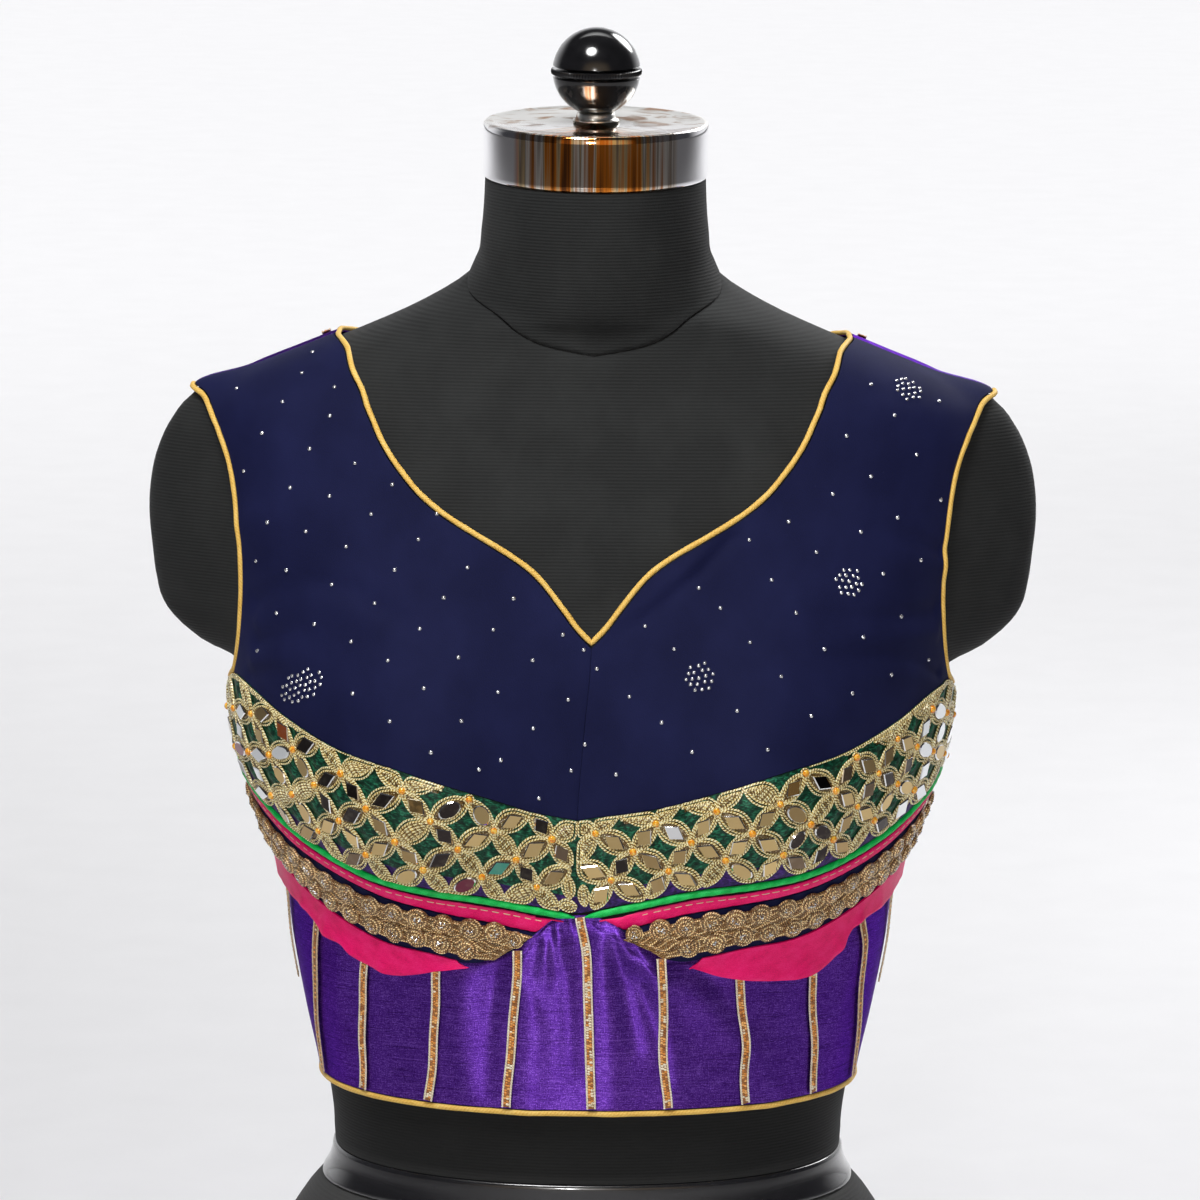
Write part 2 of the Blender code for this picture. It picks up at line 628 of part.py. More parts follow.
def form_rings(name, heights, inset, material, columns=FORM_COLUMNS):
    """A closed solid through rings of the body, with flat ends."""
    turn = np.linspace(-180, 180, columns + 1)[:-1]
    vertices, faces = [], []
    for height, shrink in zip(heights, inset):
        ring = body_line(np.full_like(turn, height), turn)
        centre = np.array([0.0, ring[:, 1].mean(), 0.0])
        radial = (ring - centre) * (1, 1, 0)
        radial /= np.linalg.norm(radial, axis=1, keepdims=True)
        vertices.append(ring - radial * shrink)
    for r in range(len(heights) - 1):
        for c in range(columns):
            d = (c + 1) % columns
            faces.append((r * columns + c, r * columns + d, (r + 1) * columns + d, (r + 1) * columns + c))
    faces.append(tuple(range(columns))[::-1])
    faces.append(tuple(range((len(heights) - 1) * columns, len(heights) * columns)))
    return new_object(name, np.concatenate(vertices), faces, material)


def turned(name, profile, material, place, segments=KNOB_SEGMENTS):
    """A closed turned solid from (radius, height) rows, bottom to top, leaning with the neck cap."""
    vertices, faces = [], []
    for radius, height in profile:
        for s in range(segments):
            angle = 2 * math.pi * s / segments
            vertices.append((radius * math.cos(angle), radius * math.sin(angle), height))
    for r in range(len(profile) - 1):
        for s in range(segments):
            t = (s + 1) % segments
            faces.append((r * segments + s, r * segments + t, (r + 1) * segments + t, (r + 1) * segments + s))
    faces.append(tuple(range(segments))[::-1])
    faces.append(tuple(range((len(profile) - 1) * segments, len(profile) * segments)))
    thing = new_object(name, np.array(vertices), faces, material, smooth_angle=35.0)
    thing.location = tuple(np.array(place) * MM)
    thing.rotation_euler = (CAP_LEAN, 0, 0)
    return thing


def dress_form(jersey, plastic, chrome, black):
    inset = FORM_INSET
    low = [WAIST_TOP, 230, 255, 285, 315, 340, 362, 382, 400, 418, 436]
    stumps = [446, 452, 458, 465, 474, 488, 505, 522, 538, 553, 565, 575, 583, 589]
    neck = [597, 606, 615, 624, 634, 648, 664, NECK_TOP]
    torso = low + stumps + neck
    form_rings("form_torso", torso, [inset] * len(torso), jersey)
    band = [WAIST_LOW, WAIST_LOW + 2, WAIST_TOP - 2 - FORM_GAP, WAIST_TOP - FORM_GAP]
    form_rings("form_waist_band", band, [1.0, -BAND_REST, -BAND_REST, 1.0], plastic, 36)
    hip = [0, FOOT_BEVEL, 40, 75, 105, 130, 150, 167, 181, WAIST_LOW - FORM_GAP]
    form_rings("form_hip", hip, [FOOT_BEVEL] + [inset] * (len(hip) - 1), jersey, 36)
    cap = [NECK_TOP + FORM_GAP, NECK_TOP + 2, CAP_TOP - 2, CAP_TOP]
    form_rings("neck_cap", cap, [1.2, -0.4, -0.4, 1.2], chrome, 36)

    up = np.array([0.0, -math.sin(CAP_LEAN), math.cos(CAP_LEAN)])
    seat = np.array([0.0, CAP_CENTRE + MIDDLE, CAP_TOP]) + up * FORM_GAP
    collar = [(COLLAR_RADIUS + 1.5, 0.0), (COLLAR_RADIUS, 1.2), (COLLAR_RADIUS - 1.0, COLLAR_HEIGHT)]
    turned("knob_collar", collar, chrome, seat)
    low = math.asin(KNOB_FLAT / KNOB_RADIUS)
    ball = [(KNOB_RADIUS * math.sin(a), -KNOB_RADIUS * math.cos(a)) for a in np.linspace(low, 1.45, 6)]
    half, stand = KNOB_RING
    ring = [(KNOB_RADIUS + stand, -half), (KNOB_RADIUS + stand, half)]
    crown = [(r, -h) for r, h in ball[::-1][:5]]
    crown.append((KNOB_RADIUS * 0.12, KNOB_RADIUS * 0.993))
    centre = seat + up * (COLLAR_HEIGHT + FORM_GAP + KNOB_RADIUS * math.cos(low))
    turned("ball_knob", ball + ring + crown, black, centre)


def main():
    clear_scene()
    navy = finish_of("navy_crepe", (0.008, 0.010, 0.062), 0.75)
    mirror = finish_of("mirror_work", (0.60, 0.42, 0.16), 0.35, 0.5)
    green = finish_of("green_cord", (0.0, 0.42, 0.08), 0.5)
    magenta = finish_of("magenta_silk", (0.72, 0.005, 0.16), 0.45)
    zari = finish_of("antique_zari", (0.30, 0.16, 0.05), 0.45, 0.6)
    silk = finish_of("purple_silk", (0.075, 0.012, 0.27), 0.4)
    gold = finish_of("gold_stripe", (0.55, 0.30, 0.10), 0.4, 0.6)
    yellow = finish_of("yellow_piping", (0.83, 0.50, 0.08), 0.5)
    jersey = finish_of("black_jersey", (0.012, 0.012, 0.012), 0.9)
    plastic = finish_of("black_plastic", (0.01, 0.01, 0.012), 0.15)
    chrome = finish_of("chrome", (0.75, 0.72, 0.68), 0.15, 1.0)
    black = finish_of("black_ball", (0.008, 0.008, 0.009), 0.12)

    navy_fronts(navy)
    mirror_bands(mirror)
    cords(green, magenta)
    navy_strips(navy)
    zari_laces(zari)
    magenta_frills(magenta)
    midriff(silk)
    backs(silk)
    front_stripes(gold)
    back_stripes(gold)
    edge_pipings(yellow)
    dress_form(jersey, plastic, chrome, black)


main()
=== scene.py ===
# %% [markdown]
# # A choli blouse on a dress form
# A choli is a short fitted blouse. This one has two navy fronts set with small stones, bands of mirror work
# under the bust, silk cords, a gold lace, a folded frill, and a purple silk midriff and backs with gold
# stripes. It is worn by a jersey dress form without arms. After a few shared helpers, the cells below make
# its finishes and then its pieces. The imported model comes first, as a fixed frame: every piece here is
# built in its millimetres.

# %% The frame
import math

import bpy
import numpy as np
from mathutils import Euler, Matrix


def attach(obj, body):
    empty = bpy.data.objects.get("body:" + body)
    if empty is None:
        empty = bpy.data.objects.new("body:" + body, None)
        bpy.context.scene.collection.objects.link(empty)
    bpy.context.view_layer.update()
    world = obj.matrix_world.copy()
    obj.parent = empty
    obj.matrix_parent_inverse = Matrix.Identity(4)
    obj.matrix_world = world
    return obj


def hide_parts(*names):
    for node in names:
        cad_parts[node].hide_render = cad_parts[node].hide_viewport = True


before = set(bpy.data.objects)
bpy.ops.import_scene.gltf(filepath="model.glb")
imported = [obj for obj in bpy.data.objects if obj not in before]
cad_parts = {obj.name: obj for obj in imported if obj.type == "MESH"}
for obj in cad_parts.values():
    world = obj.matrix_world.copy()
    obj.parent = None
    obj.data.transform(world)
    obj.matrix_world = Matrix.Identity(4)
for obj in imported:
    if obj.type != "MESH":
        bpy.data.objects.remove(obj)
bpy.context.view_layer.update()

MM = 0.001

# %% [markdown]
# ## The body
# Cloth takes its shape from what wears it, so the body is described first and once. It could be sculpted,
# but a table of rings is easier to keep in step with the solids: half width, depth in front and behind, and
# how square each ring is. A second table gives the arm stumps, and two soft humps give the bust cups. A
# place on the body is a height in millimetres and a turn in degrees: 0 is the centre front, 90 the wearer's
# left side, 180 the centre back.

# %% Tables of the body
BODY_COLUMNS = ("height", "half_width", "front", "back", "squareness", "centre", "lean")
BODY = (
    (0, 166, 101, 112, 2.25, 4, 0),
    (40, 169, 104, 116, 2.25, 4, 0),
    (80, 170, 105, 118, 2.25, 4, 0),
    (110, 167, 104, 114, 2.20, 4, 0),
    (140, 160, 101, 106, 2.20, 3, 0),
    (165, 150, 97, 97, 2.15, 2, 0),
    (183, 139, 94, 90, 2.15, 1, 0),
    (200, 126, 91, 85, 2.15, 0, 0),
    (218, 125, 91, 84, 2.15, 0, 0),
    (247, 128.5, 93, 84, 2.20, 0, 0),
    (280, 135.5, 96, 86, 2.20, 0, 0),
    (313, 141.5, 99, 89, 2.25, 0, 0),
    (345, 146, 102, 93, 2.25, 0, 0),
    (375, 157, 103, 97, 2.30, 0, 0),
    (404, 168, 102, 101, 2.40, 0, 0),
    (427, 172, 99, 104, 2.50, 0, 0),
    (455, 172.5, 94, 106, 2.60, 0, 0),
    (490, 173, 87, 106, 2.70, 2, 0),
    (520, 176, 80, 104, 2.70, 4, 0),
    (545, 180, 73, 100, 2.60, 6, 0),
    (563, 184, 68, 94, 2.50, 8, 0),
    (576, 180, 64, 87, 2.40, 9, 0),
    (586, 167, 60, 78, 2.30, 10, 0),
    (597, 141, 57, 68, 2.20, 10, 0.01),
    (608, 113, 55, 61, 2.15, 10, 0.03),
    (618, 89, 54, 57, 2.10, 8, 0.08),
    (628, 68, 54, 56, 2.05, 5, 0.20),
    (642, 58, 54, 55, 2.0, 2, 0.30),
    (660, 55, 54, 54, 2.0, 0, 0.16),
    (684, 53.5, 54, 54, 2.0, -1, 0.05),
    (711, 53.5, 54, 54, 2.0, -1, 0.045),
)
ARM = (   # height, half width, half depth
    (446, 90, 20), (452, 168, 34), (457, 186, 40), (463, 196, 43), (471, 204.7, 46), (477, 208.5, 48),
    (488, 211.5, 50), (503, 213.5, 51), (519, 215, 50), (532, 214.5, 48), (550, 210.5, 44), (564, 203, 39),
    (575, 193, 32), (583, 179, 22), (590, 130, 12),
)
ARM_BLEND = 18.0       # a higher number joins stump and chest more sharply
MIDDLE = 0.76          # everything stands this much further back
BUST = {"x": 86.0, "height": 398.0, "out": 26.0, "half_width": 52.0, "above": 78.0, "below": 50.0}
print(len(BODY), "rings of the body and", len(ARM), "of the arm stumps")

# %% A smooth curve through a table
def smooth(rows, at, column=1):
    """A column of a table on a smooth curve through its rows, at values of its first column."""
    table = np.asarray(rows, float)
    xs, ys = table[:, 0], table[:, column]
    if xs[0] > xs[-1]:
        xs, ys = xs[::-1], ys[::-1]
    step = np.diff(xs)
    slope = np.diff(ys) / step
    tangent = np.empty_like(ys)
    tangent[0], tangent[-1] = slope[0], slope[-1]
    tangent[1:-1] = (slope[:-1] * step[1:] + slope[1:] * step[:-1]) / (step[:-1] + step[1:])
    at = np.asarray(at, float)
    i = np.clip(np.searchsorted(xs, at) - 1, 0, len(step) - 1)
    t = np.clip((at - xs[i]) / step[i], 0.0, 1.0)
    return (
        (2 * t**3 - 3 * t**2 + 1) * ys[i]
        + (t**3 - 2 * t**2 + t) * step[i] * tangent[i]
        + (3 * t**2 - 2 * t**3) * ys[i + 1]
        + (t**3 - t**2) * step[i] * tangent[i + 1]
    )


def soft_step(share):
    """0 to 1, flat at both ends."""
    return share * share * (3.0 - 2.0 * share)


print("half width at the waist", round(float(smooth(BODY, 210.0)), 1), "mm")

# %% The body's surface
def body_line(height, turn):
    """Points of the body's surface: rings through the table, joined to the arm stumps, with the bust."""
    height = np.asarray(height, float)
    angle = np.radians(np.asarray(turn, float))
    ring = {name: smooth(BODY, height, i) for i, name in enumerate(BODY_COLUMNS) if i}
    sine, cosine = np.sin(angle), np.cos(angle)
    depth = np.where(cosine > 0, ring["front"], ring["back"])
    power = ring["squareness"]
    reach = (np.abs(sine) ** power + np.abs(cosine) ** power) ** (-1.0 / power)
    x = reach * ring["half_width"] * sine
    y = -reach * depth * cosine

    arm_width = np.maximum(smooth(ARM, height, 1), 1.0)
    arm_depth = np.maximum(smooth(ARM, height, 2), 1.0)
    arm_reach = (np.abs(x / arm_width) ** 2 + np.abs(y / arm_depth) ** 2 + 1e-9) ** -0.5
    beside_arm = (height > ARM[0][0]) & (height < ARM[-1][0])
    joined = np.where(beside_arm, (1.0 + arm_reach**ARM_BLEND) ** (1.0 / ARM_BLEND), 1.0)
    x, y = x * joined, y * joined + ring["centre"] + MIDDLE
    z = height + ring["lean"] * y

    away = z - BUST["height"]
    rise = np.exp(-((away / np.where(away > 0, BUST["above"], BUST["below"])) ** 2))
    cups = sum(np.exp(-(((x - side * BUST["x"]) / BUST["half_width"]) ** 2)) for side in (-1, 1))
    facing = np.clip(3.0 * cosine, 0.0, 1.0)
    y = y - BUST["out"] * rise * cups * soft_step(facing)
    return np.stack(np.broadcast_arrays(x, y, z), -1)


print("waist ring in mm", np.round(np.ptp(body_line(210, np.arange(0, 360, 5)), axis=0)[:2], 1).tolist())

# %% [markdown]
# ## Soft folds
# Cloth that is cut flat and pulled over a bust folds a little: towards the armholes, along the slanting
# neck edge, and down from a gathered point. A simulation could find such folds, but not these ones in these
# places, so each is laid as a soft ridge (or, with a negative rise, a trough) along a line of
# places, and fades to its end. Every layer adds the same folds, so that trims and stripes ride on the cloth
# under them.

# %% The folds
FOLDS = (   # rise in mm, half width in mm, then places as turn, height
    # gathers that run down from the peak of the midriff
    (3.6, 8.0, ((-9.5, 328), (-10.6, 300), (-12.5, 252))),
    (2.1, 4.5, ((-4.4, 335), (-3.8, 300), (-3.6, 268))),
    (2.7, 6.5, ((2.6, 338), (3.6, 300), (4.9, 252))),
    (4.8, 8.5, ((6.8, 334), (13.5, 317), (22.0, 302), (34.0, 274), (39.0, 256))),
    (2.4, 6.0, ((12.0, 323), (14.5, 296), (18.5, 258))),
    (1.5, 2.6, ((-8.4, 333), (-7.6, 316))),
    (1.3, 2.0, ((-6.0, 339), (-5.2, 322))),
    (1.4, 3.0, ((-12.9, 327), (-14.2, 304))),
    (1.4, 2.2, ((5.6, 337), (7.6, 325))),
    (1.1, 2.0, ((-1.9, 343), (-1.7, 328))),
    (1.1, 2.2, ((9.5, 331), (12.0, 318))),
    (-1.4, 3.0, ((-9.3, 331), (-10.6, 318), (-8.6, 296))),
    (-2.6, 4.0, ((4.8, 332), (6.6, 310), (9.5, 280))),
    (-2.0, 4.0, ((10.0, 312), (13.7, 286), (16.5, 262))),
    (-2.2, 5.0, ((21.8, 318), (27.0, 300), (31.5, 288))),
    (-1.8, 4.5, ((-17.5, 320), (-19.5, 290), (-21.0, 256))),
    (1.3, 6.0, ((-24.0, 312), (-26.0, 282), (-25.0, 256))),
    (1.4, 7.0, ((41.0, 308), (38.0, 284), (41.0, 256))),
    (-1.0, 6.0, ((-38.0, 308), (-40.0, 280), (-39.0, 254))),
    (1.3, 7.0, ((-52.0, 318), (-56.0, 290), (-60.0, 262))),
    (1.3, 8.0, ((60.0, 322), (57.0, 292), (62.0, 258))),
    # pulls from the armholes over the bust
    (-1.6, 5.0, ((-58.5, 484), (-52.0, 493), (-45.0, 498), (-37.0, 496), (-28.5, 482))),
    (1.3, 5.5, ((-57.0, 476), (-50.0, 484), (-41.0, 487), (-33.0, 480))),
    (-1.5, 4.0, ((-58.5, 465), (-52.0, 471), (-45.0, 475))),
    (1.1, 4.5, ((-60.0, 456), (-52.0, 461), (-43.0, 462))),
    (-0.9, 3.5, ((-62.0, 449), (-55.0, 453), (-48.0, 453))),
    (0.9, 7.0, ((-60.5, 520), (-52.0, 527), (-44.0, 530))),
    (-1.3, 4.0, ((60.5, 511), (52.0, 518), (43.0, 524))),
    (1.1, 5.0, ((61.5, 503), (54.0, 507), (45.0, 512), (38.0, 516))),
    (-1.0, 6.0, ((28.5, 538), (33.0, 534), (38.0, 529))),
    (-1.4, 4.5, ((61.0, 483), (51.0, 482), (43.0, 484), (35.5, 484))),
    (1.2, 4.0, ((62.0, 472), (54.0, 473), (44.0, 474), (36.5, 474))),
    (-1.5, 3.2, ((64.5, 452), (56.0, 460), (47.5, 465), (37.0, 468))),
    (1.0, 4.0, ((66.0, 445), (58.0, 452), (50.0, 456), (42.0, 457))),
    (-0.7, 7.0, ((29.5, 422), (37.0, 424), (44.0, 426))),
    # the slack along the slanting neck edge
    (-1.8, 3.4, ((21.0, 521), (16.5, 505.5), (11.0, 491), (5.6, 479))),
    (1.2, 3.6, ((16.5, 512), (11.5, 499), (7.0, 488))),
    (-0.9, 4.5, ((-22.2, 530), (-18.7, 512), (-15.0, 484))),
    (-0.7, 3.6, ((-14.0, 514), (-9.5, 500), (-5.0, 489))),
    # the backs, which lie flatter
    (1.2, 9.0, ((164.0, 262), (167.0, 320), (163.0, 380))),
    (-0.9, 8.0, ((150.0, 262), (152.0, 330), (148.0, 400))),
    (1.3, 9.0, ((-166.0, 262), (-162.0, 330), (-166.0, 400))),
    (-0.9, 8.0, ((-148.0, 260), (-151.0, 310), (-147.0, 360))),
    (1.2, 7.0, ((119.0, 470), (130.0, 462), (142.0, 462))),
    (-1.0, 6.0, ((118.0, 484), (128.0, 478), (138.0, 480))),
    (1.1, 7.0, ((-118.0, 476), (-128.0, 466), (-141.0, 468))),
    (-1.0, 6.0, ((-118.5, 500), (-129.0, 492), (-139.0, 494))),
    (1.0, 9.0, ((108.0, 300), (116.0, 320), (128.0, 332))),
    (1.0, 9.0, ((-106.0, 296), (-117.0, 318), (-127.0, 326))),
    (-0.8, 7.0, ((104.0, 318), (114.0, 338), (124.0, 350))),
)
FOLD_END = 0.35        # the share of its rise that a fold keeps at its far end
FOLD_REACH = 3.0       # half widths beyond which a fold is not felt
DEGREE = ((210, 345, 400, 600), (1.95, 2.2, 2.75, 2.75))   # mm along the cloth for a degree, by height
print(len(FOLDS), "folds, the highest", max(fold[0] for fold in FOLDS), "mm")

# %% What the folds add
def fold_rise(height, turn):
    """How far the soft folds lift the cloth off the body line, in mm."""
    place = np.stack([turn * np.interp(height, *DEGREE), height], -1)
    total = np.zeros(np.shape(height))
    for rise, half_width, line in FOLDS:
        ends = np.array([(t * np.interp(h, *DEGREE), h) for t, h in line])
        reach = FOLD_REACH * half_width
        near = np.all((place > ends.min(0) - reach) & (place < ends.max(0) + reach), axis=-1)
        if not near.any():
            continue
        spot = place[near]
        nearest = np.full(len(spot), np.inf)
        share = np.zeros(len(spot))
        for k, (start, end) in enumerate(zip(ends[:-1], ends[1:])):
            along = end - start
            t = np.clip((spot - start) @ along / (along @ along), 0.0, 1.0)
            off = np.linalg.norm(spot - start - t[:, None] * along, axis=1)
            share = np.where(off < nearest, (k + t) / (len(ends) - 1), share)
            nearest = np.minimum(off, nearest)
        fade = 1.0 - (1.0 - FOLD_END) * share
        total[near] += rise * fade * np.exp(-((nearest / half_width) ** 2))
    return total


def cloth_line(height, turn, out, folded=True):
    """Points this far outside the body line, along its normal, with or without the folds."""
    height, turn = np.broadcast_arrays(np.asarray(height, float), np.asarray(turn, float))
    normal = body_normal(height, turn)
    lift = np.asarray(out + (fold_rise(height, turn) if folded else 0.0)) + np.zeros(height.shape)
    return body_line(height, turn) + lift[..., None] * normal


def unit(vectors):
    return vectors / np.maximum(np.linalg.norm(vectors, axis=-1, keepdims=True), 1e-9)


def body_normal(height, turn, step=0.5):
    up = body_line(height + step, turn) - body_line(height - step, turn)
    across = body_line(height, turn + step) - body_line(height, turn - step)
    return unit(np.cross(across, up))


print("lift beside the peak", np.round(fold_rise(np.array([330.0]), np.array([7.0])), 1), "mm")

# %% The centre seam's wander
# The centre seam doesn't hang straight either: it wanders a few degrees, and the cloth near it goes with it.
WANDER = ((240, 0.9), (249, 0.8), (273, 0.4), (306, -0.1), (331, -0.6), (345, -1.7), (391, -2.1), (430, -1.1),
          (470, 0.0), (480, 0.0))
WANDER_REACH = 16.0    # degrees from the centre


def leaned(height, turn):
    """Where a place of an even pattern lies once the centre seam has wandered."""
    return turn + smooth(WANDER, height) * soft_step(np.clip(1.0 - np.abs(turn) / WANDER_REACH, 0.0, 1.0))


print("the seam wanders up to", max(abs(degrees) for _, degrees in WANDER), "degrees")

# %% [markdown]
# ## Where the cloth was flat
# A weave follows the straight grain of the cloth, not the body. So each point also gets its place on the
# flat cloth, in millimetres: how far it is from the centre line along its ring, and how far up the body.
# Those two numbers become the UV map that every woven finish reads.

# %% Places on the flat cloth
HEM = 248.5
GRAIN_STEP = (5.0, 4.0)
GRAIN_HEIGHTS = np.arange(180.0, 616.0, GRAIN_STEP[0])
GRAIN_TURNS = np.arange(-180.0, 181.0, GRAIN_STEP[1])


def grain_tables():
    skin = body_line(*np.meshgrid(GRAIN_HEIGHTS, GRAIN_TURNS, indexing="ij"))
    across = np.cumsum(np.linalg.norm(np.diff(skin, axis=1, prepend=skin[:, :1]), axis=-1), axis=1)
    across -= across[:, GRAIN_TURNS == 0]
    up = np.cumsum(np.linalg.norm(np.diff(skin, axis=0, prepend=skin[:1]), axis=-1), axis=0)
    return np.stack([across, up], -1)


GRAIN = grain_tables()


def flat_place(height, turn):
    """Millimetres across and up the flat cloth."""
    row = np.clip((height - GRAIN_HEIGHTS[0]) / GRAIN_STEP[0], 0, len(GRAIN_HEIGHTS) - 1.001)
    column = np.clip((turn - GRAIN_TURNS[0]) / GRAIN_STEP[1], 0, len(GRAIN_TURNS) - 1.001)
    r, c = row.astype(int), column.astype(int)
    dr, dc = (row - r)[..., None], (column - c)[..., None]
    low = GRAIN[r, c] * (1 - dc) + GRAIN[r, c + 1] * dc
    high = GRAIN[r + 1, c] * (1 - dc) + GRAIN[r + 1, c + 1] * dc
    return low * (1 - dr) + high * dr


bust_to_hem = flat_place(np.array([HEM, 398.0]), np.array([30.0, 30.0]))
print("bust to hem up the cloth", round(float(np.ptp(bust_to_hem[:, 1])), 1), "mm")

# %% [markdown]
# ## Meshes in bulk
# One piece may hold thousands of strands or beads, so points and faces are gathered as arrays and handed to
# Blender once. `Work` is the tray they are gathered on. A tone, which is a colour on each face, goes with
# them for finishes whose strands or mirrors differ.

# %% A tray for points and faces
class Work:
    def __init__(self):
        self.points, self.flat, self.faces, self.tones = [], [], [], []
        self.count = 0

    def add(self, points, faces, flat=None, tone=(1.0, 1.0, 1.0)):
        """Faces are one array of corners, or a list with an array for each number of corners."""
        points = np.asarray(points, float).reshape(-1, 3)
        flat = np.zeros((len(points), 2)) if flat is None else np.asarray(flat, float).reshape(-1, 2)
        for group in faces if isinstance(faces, list) else [faces]:
            self.faces.append(np.asarray(group) + self.count)
            self.tones.append(np.broadcast_to(np.asarray(tone, float), (len(group), 3)))
        self.points.append(points)
        self.flat.append(flat)
        self.count += len(points)
        return self

    def piece(self, name, finish, stands_for=(), on=None, crease=40.0):
        """The Blender object, in metres: it stands for solids, or lies on a piece that carries it."""
        points, flat = np.concatenate(self.points) * MM, np.concatenate(self.flat)
        corners = np.concatenate([group.ravel() for group in self.faces]).astype(np.int32)
        sizes = np.concatenate([np.full(len(group), group.shape[1]) for group in self.faces])
        mesh = bpy.data.meshes.new(name)
        mesh.vertices.add(len(points))
        mesh.vertices.foreach_set("co", points.astype(np.float32).ravel())
        mesh.loops.add(len(corners))
        mesh.loops.foreach_set("vertex_index", corners)
        mesh.polygons.add(len(sizes))
        starts = np.concatenate([[0], np.cumsum(sizes)[:-1]]).astype(np.int32)
        mesh.polygons.foreach_set("loop_start", starts)
        mesh.update(calc_edges=True)
        mesh.uv_layers.new(name="Cloth")
        mesh.uv_layers["Cloth"].uv.foreach_set("vector", flat[corners].astype(np.float32).ravel())
        tones = mesh.color_attributes.new("tone", "FLOAT_COLOR", "CORNER")
        colours = np.repeat(np.concatenate(self.tones), sizes, axis=0)
        colours = np.column_stack([colours, np.ones(len(colours))])
        tones.data.foreach_set("color", colours.astype(np.float32).ravel())
        mesh.shade_smooth()
        mesh.set_sharp_from_angle(angle=math.radians(crease))
        mesh.materials.append(finish.material)
        thing = bpy.data.objects.new(name, mesh)
        bpy.context.scene.collection.objects.link(thing)
        if on is None:
            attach(thing, "root")
        else:
            thing.parent = on
        if stands_for:
            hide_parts(*stands_for)
        TRIANGLES[name] = int((sizes - 2).sum())
        print(f"{name}: {len(points)} points, {TRIANGLES[name]} triangles")
        return thing


TRIANGLES = {}
SIDES = ((1, "left"), (-1, "right"))
rng = np.random.default_rng(7)
print("the tray is ready; sides", [word for _, word in SIDES])

# %% [markdown]
# ## Ways to make a surface
# A panel of cloth is a grid with a front, a back and a rim, so that it has the thickness of real cloth. A
# form is a grid that closes round the body, with flat ends. Cords, threads and strands are tubes: an oval
# swept along a line on the cloth, flat side down. Small things that repeat, such as beads, are made once
# and stamped.

# %% Grids and lengths
def quads_of(n):
    """The quads of a grid of point numbers."""
    return np.stack([n[:-1, :-1], n[:-1, 1:], n[1:, 1:], n[1:, :-1]], -1).reshape(-1, 4)


def grid_faces(rows, columns):
    return quads_of(np.arange(rows * columns).reshape(rows, columns))


def lengths_of(path):
    """How far along a line each of its points is."""
    return np.concatenate([[0], np.cumsum(np.linalg.norm(np.diff(path, axis=0), axis=1))])


print("a grid of 3 by 4 points has", len(grid_faces(3, 4)), "quads")

# %% Panels and closed forms
def shell(work, outer, inner, quads, flat):
    """A sheet with thickness: outer and inner points match one to one, and a rim joins their edges."""
    outer, inner, flat = outer.reshape(-1, 3), inner.reshape(-1, 3), flat.reshape(-1, 2)
    count = len(outer)
    ends = np.concatenate([quads[:, [k, (k + 1) % 4]] for k in range(4)])
    key, reverse = ends[:, 0] * count + ends[:, 1], ends[:, 1] * count + ends[:, 0]
    edge = ends[~np.isin(reverse, key)]
    rim = np.stack([edge[:, 1], edge[:, 0], edge[:, 0] + count, edge[:, 1] + count], -1)
    faces = np.concatenate([quads, quads[:, ::-1] + count, rim])
    work.add(np.concatenate([outer, inner]), faces, np.concatenate([flat, flat]))
    return work


def wrapped(work, rings, flat=None):
    """A closed solid through rings of points, with flat ends."""
    rows, columns = rings.shape[:2]
    n = np.arange(rows * columns).reshape(rows, columns)
    after = np.roll(n, -1, axis=1)
    sides = np.stack([n[:-1], after[:-1], after[1:], n[1:]], -1).reshape(-1, 4)
    return work.add(rings, [sides, n[:1, ::-1], n[-1:]], flat)


print("panels and closed forms: shell, wrapped")

# %% Tubes
def tubes(work, path, over, wide, high, sides=6, closed=False, tone=(1.0, 1.0, 1.0)):
    """Oval tubes along lines of points. `over` points off the cloth. A tone is for all or for each line."""
    path, over = np.asarray(path, float), np.asarray(over, float)
    if path.ndim == 2:
        path, over = path[None], over[None]
    lines, count = path.shape[:2]
    if closed:
        ahead = unit(np.roll(path, -1, 1) - np.roll(path, 1, 1))
    else:
        ahead = unit(np.gradient(path, axis=1))
    left = unit(np.cross(over, ahead))
    up = np.cross(ahead, left)
    angle = 2 * np.pi * np.arange(sides) / sides - np.pi / 2
    wide = np.broadcast_to(wide, (lines, count))[..., None, None]
    high = np.broadcast_to(high, (lines, count))[..., None, None]
    cosine, sine = np.cos(angle)[:, None], np.sin(angle)[:, None]
    points = path[:, :, None] + left[:, :, None] * cosine * wide / 2 + up[:, :, None] * sine * high / 2
    n = np.arange(lines * count * sides).reshape(lines, count, sides)
    ahead_n = np.roll(n, -1, 1) if closed else n[:, 1:]
    n_from = n if closed else n[:, :-1]
    quads = np.stack([n_from, np.roll(n_from, -1, 2), np.roll(ahead_n, -1, 2), ahead_n], -1).reshape(-1, 4)
    faces = [quads] if closed else [quads, n[:, 0, ::-1], n[:, -1]]
    length = np.cumsum(np.linalg.norm(np.diff(path, axis=1, prepend=path[:, :1]), axis=-1), axis=1)
    round_it = np.arange(sides) / sides * np.pi * (wide + high)[..., 0] / 2
    flat = np.stack(np.broadcast_arrays(length[..., None], round_it), -1)
    tone = np.asarray(tone, float)
    if tone.ndim == 1:
        return work.add(points, faces, flat, tone)
    work.add(points, faces, flat)
    work.tones[-len(faces):] = [np.repeat(tone, len(group) // lines, axis=0) for group in faces]
    return work


print("cords and threads: tubes")

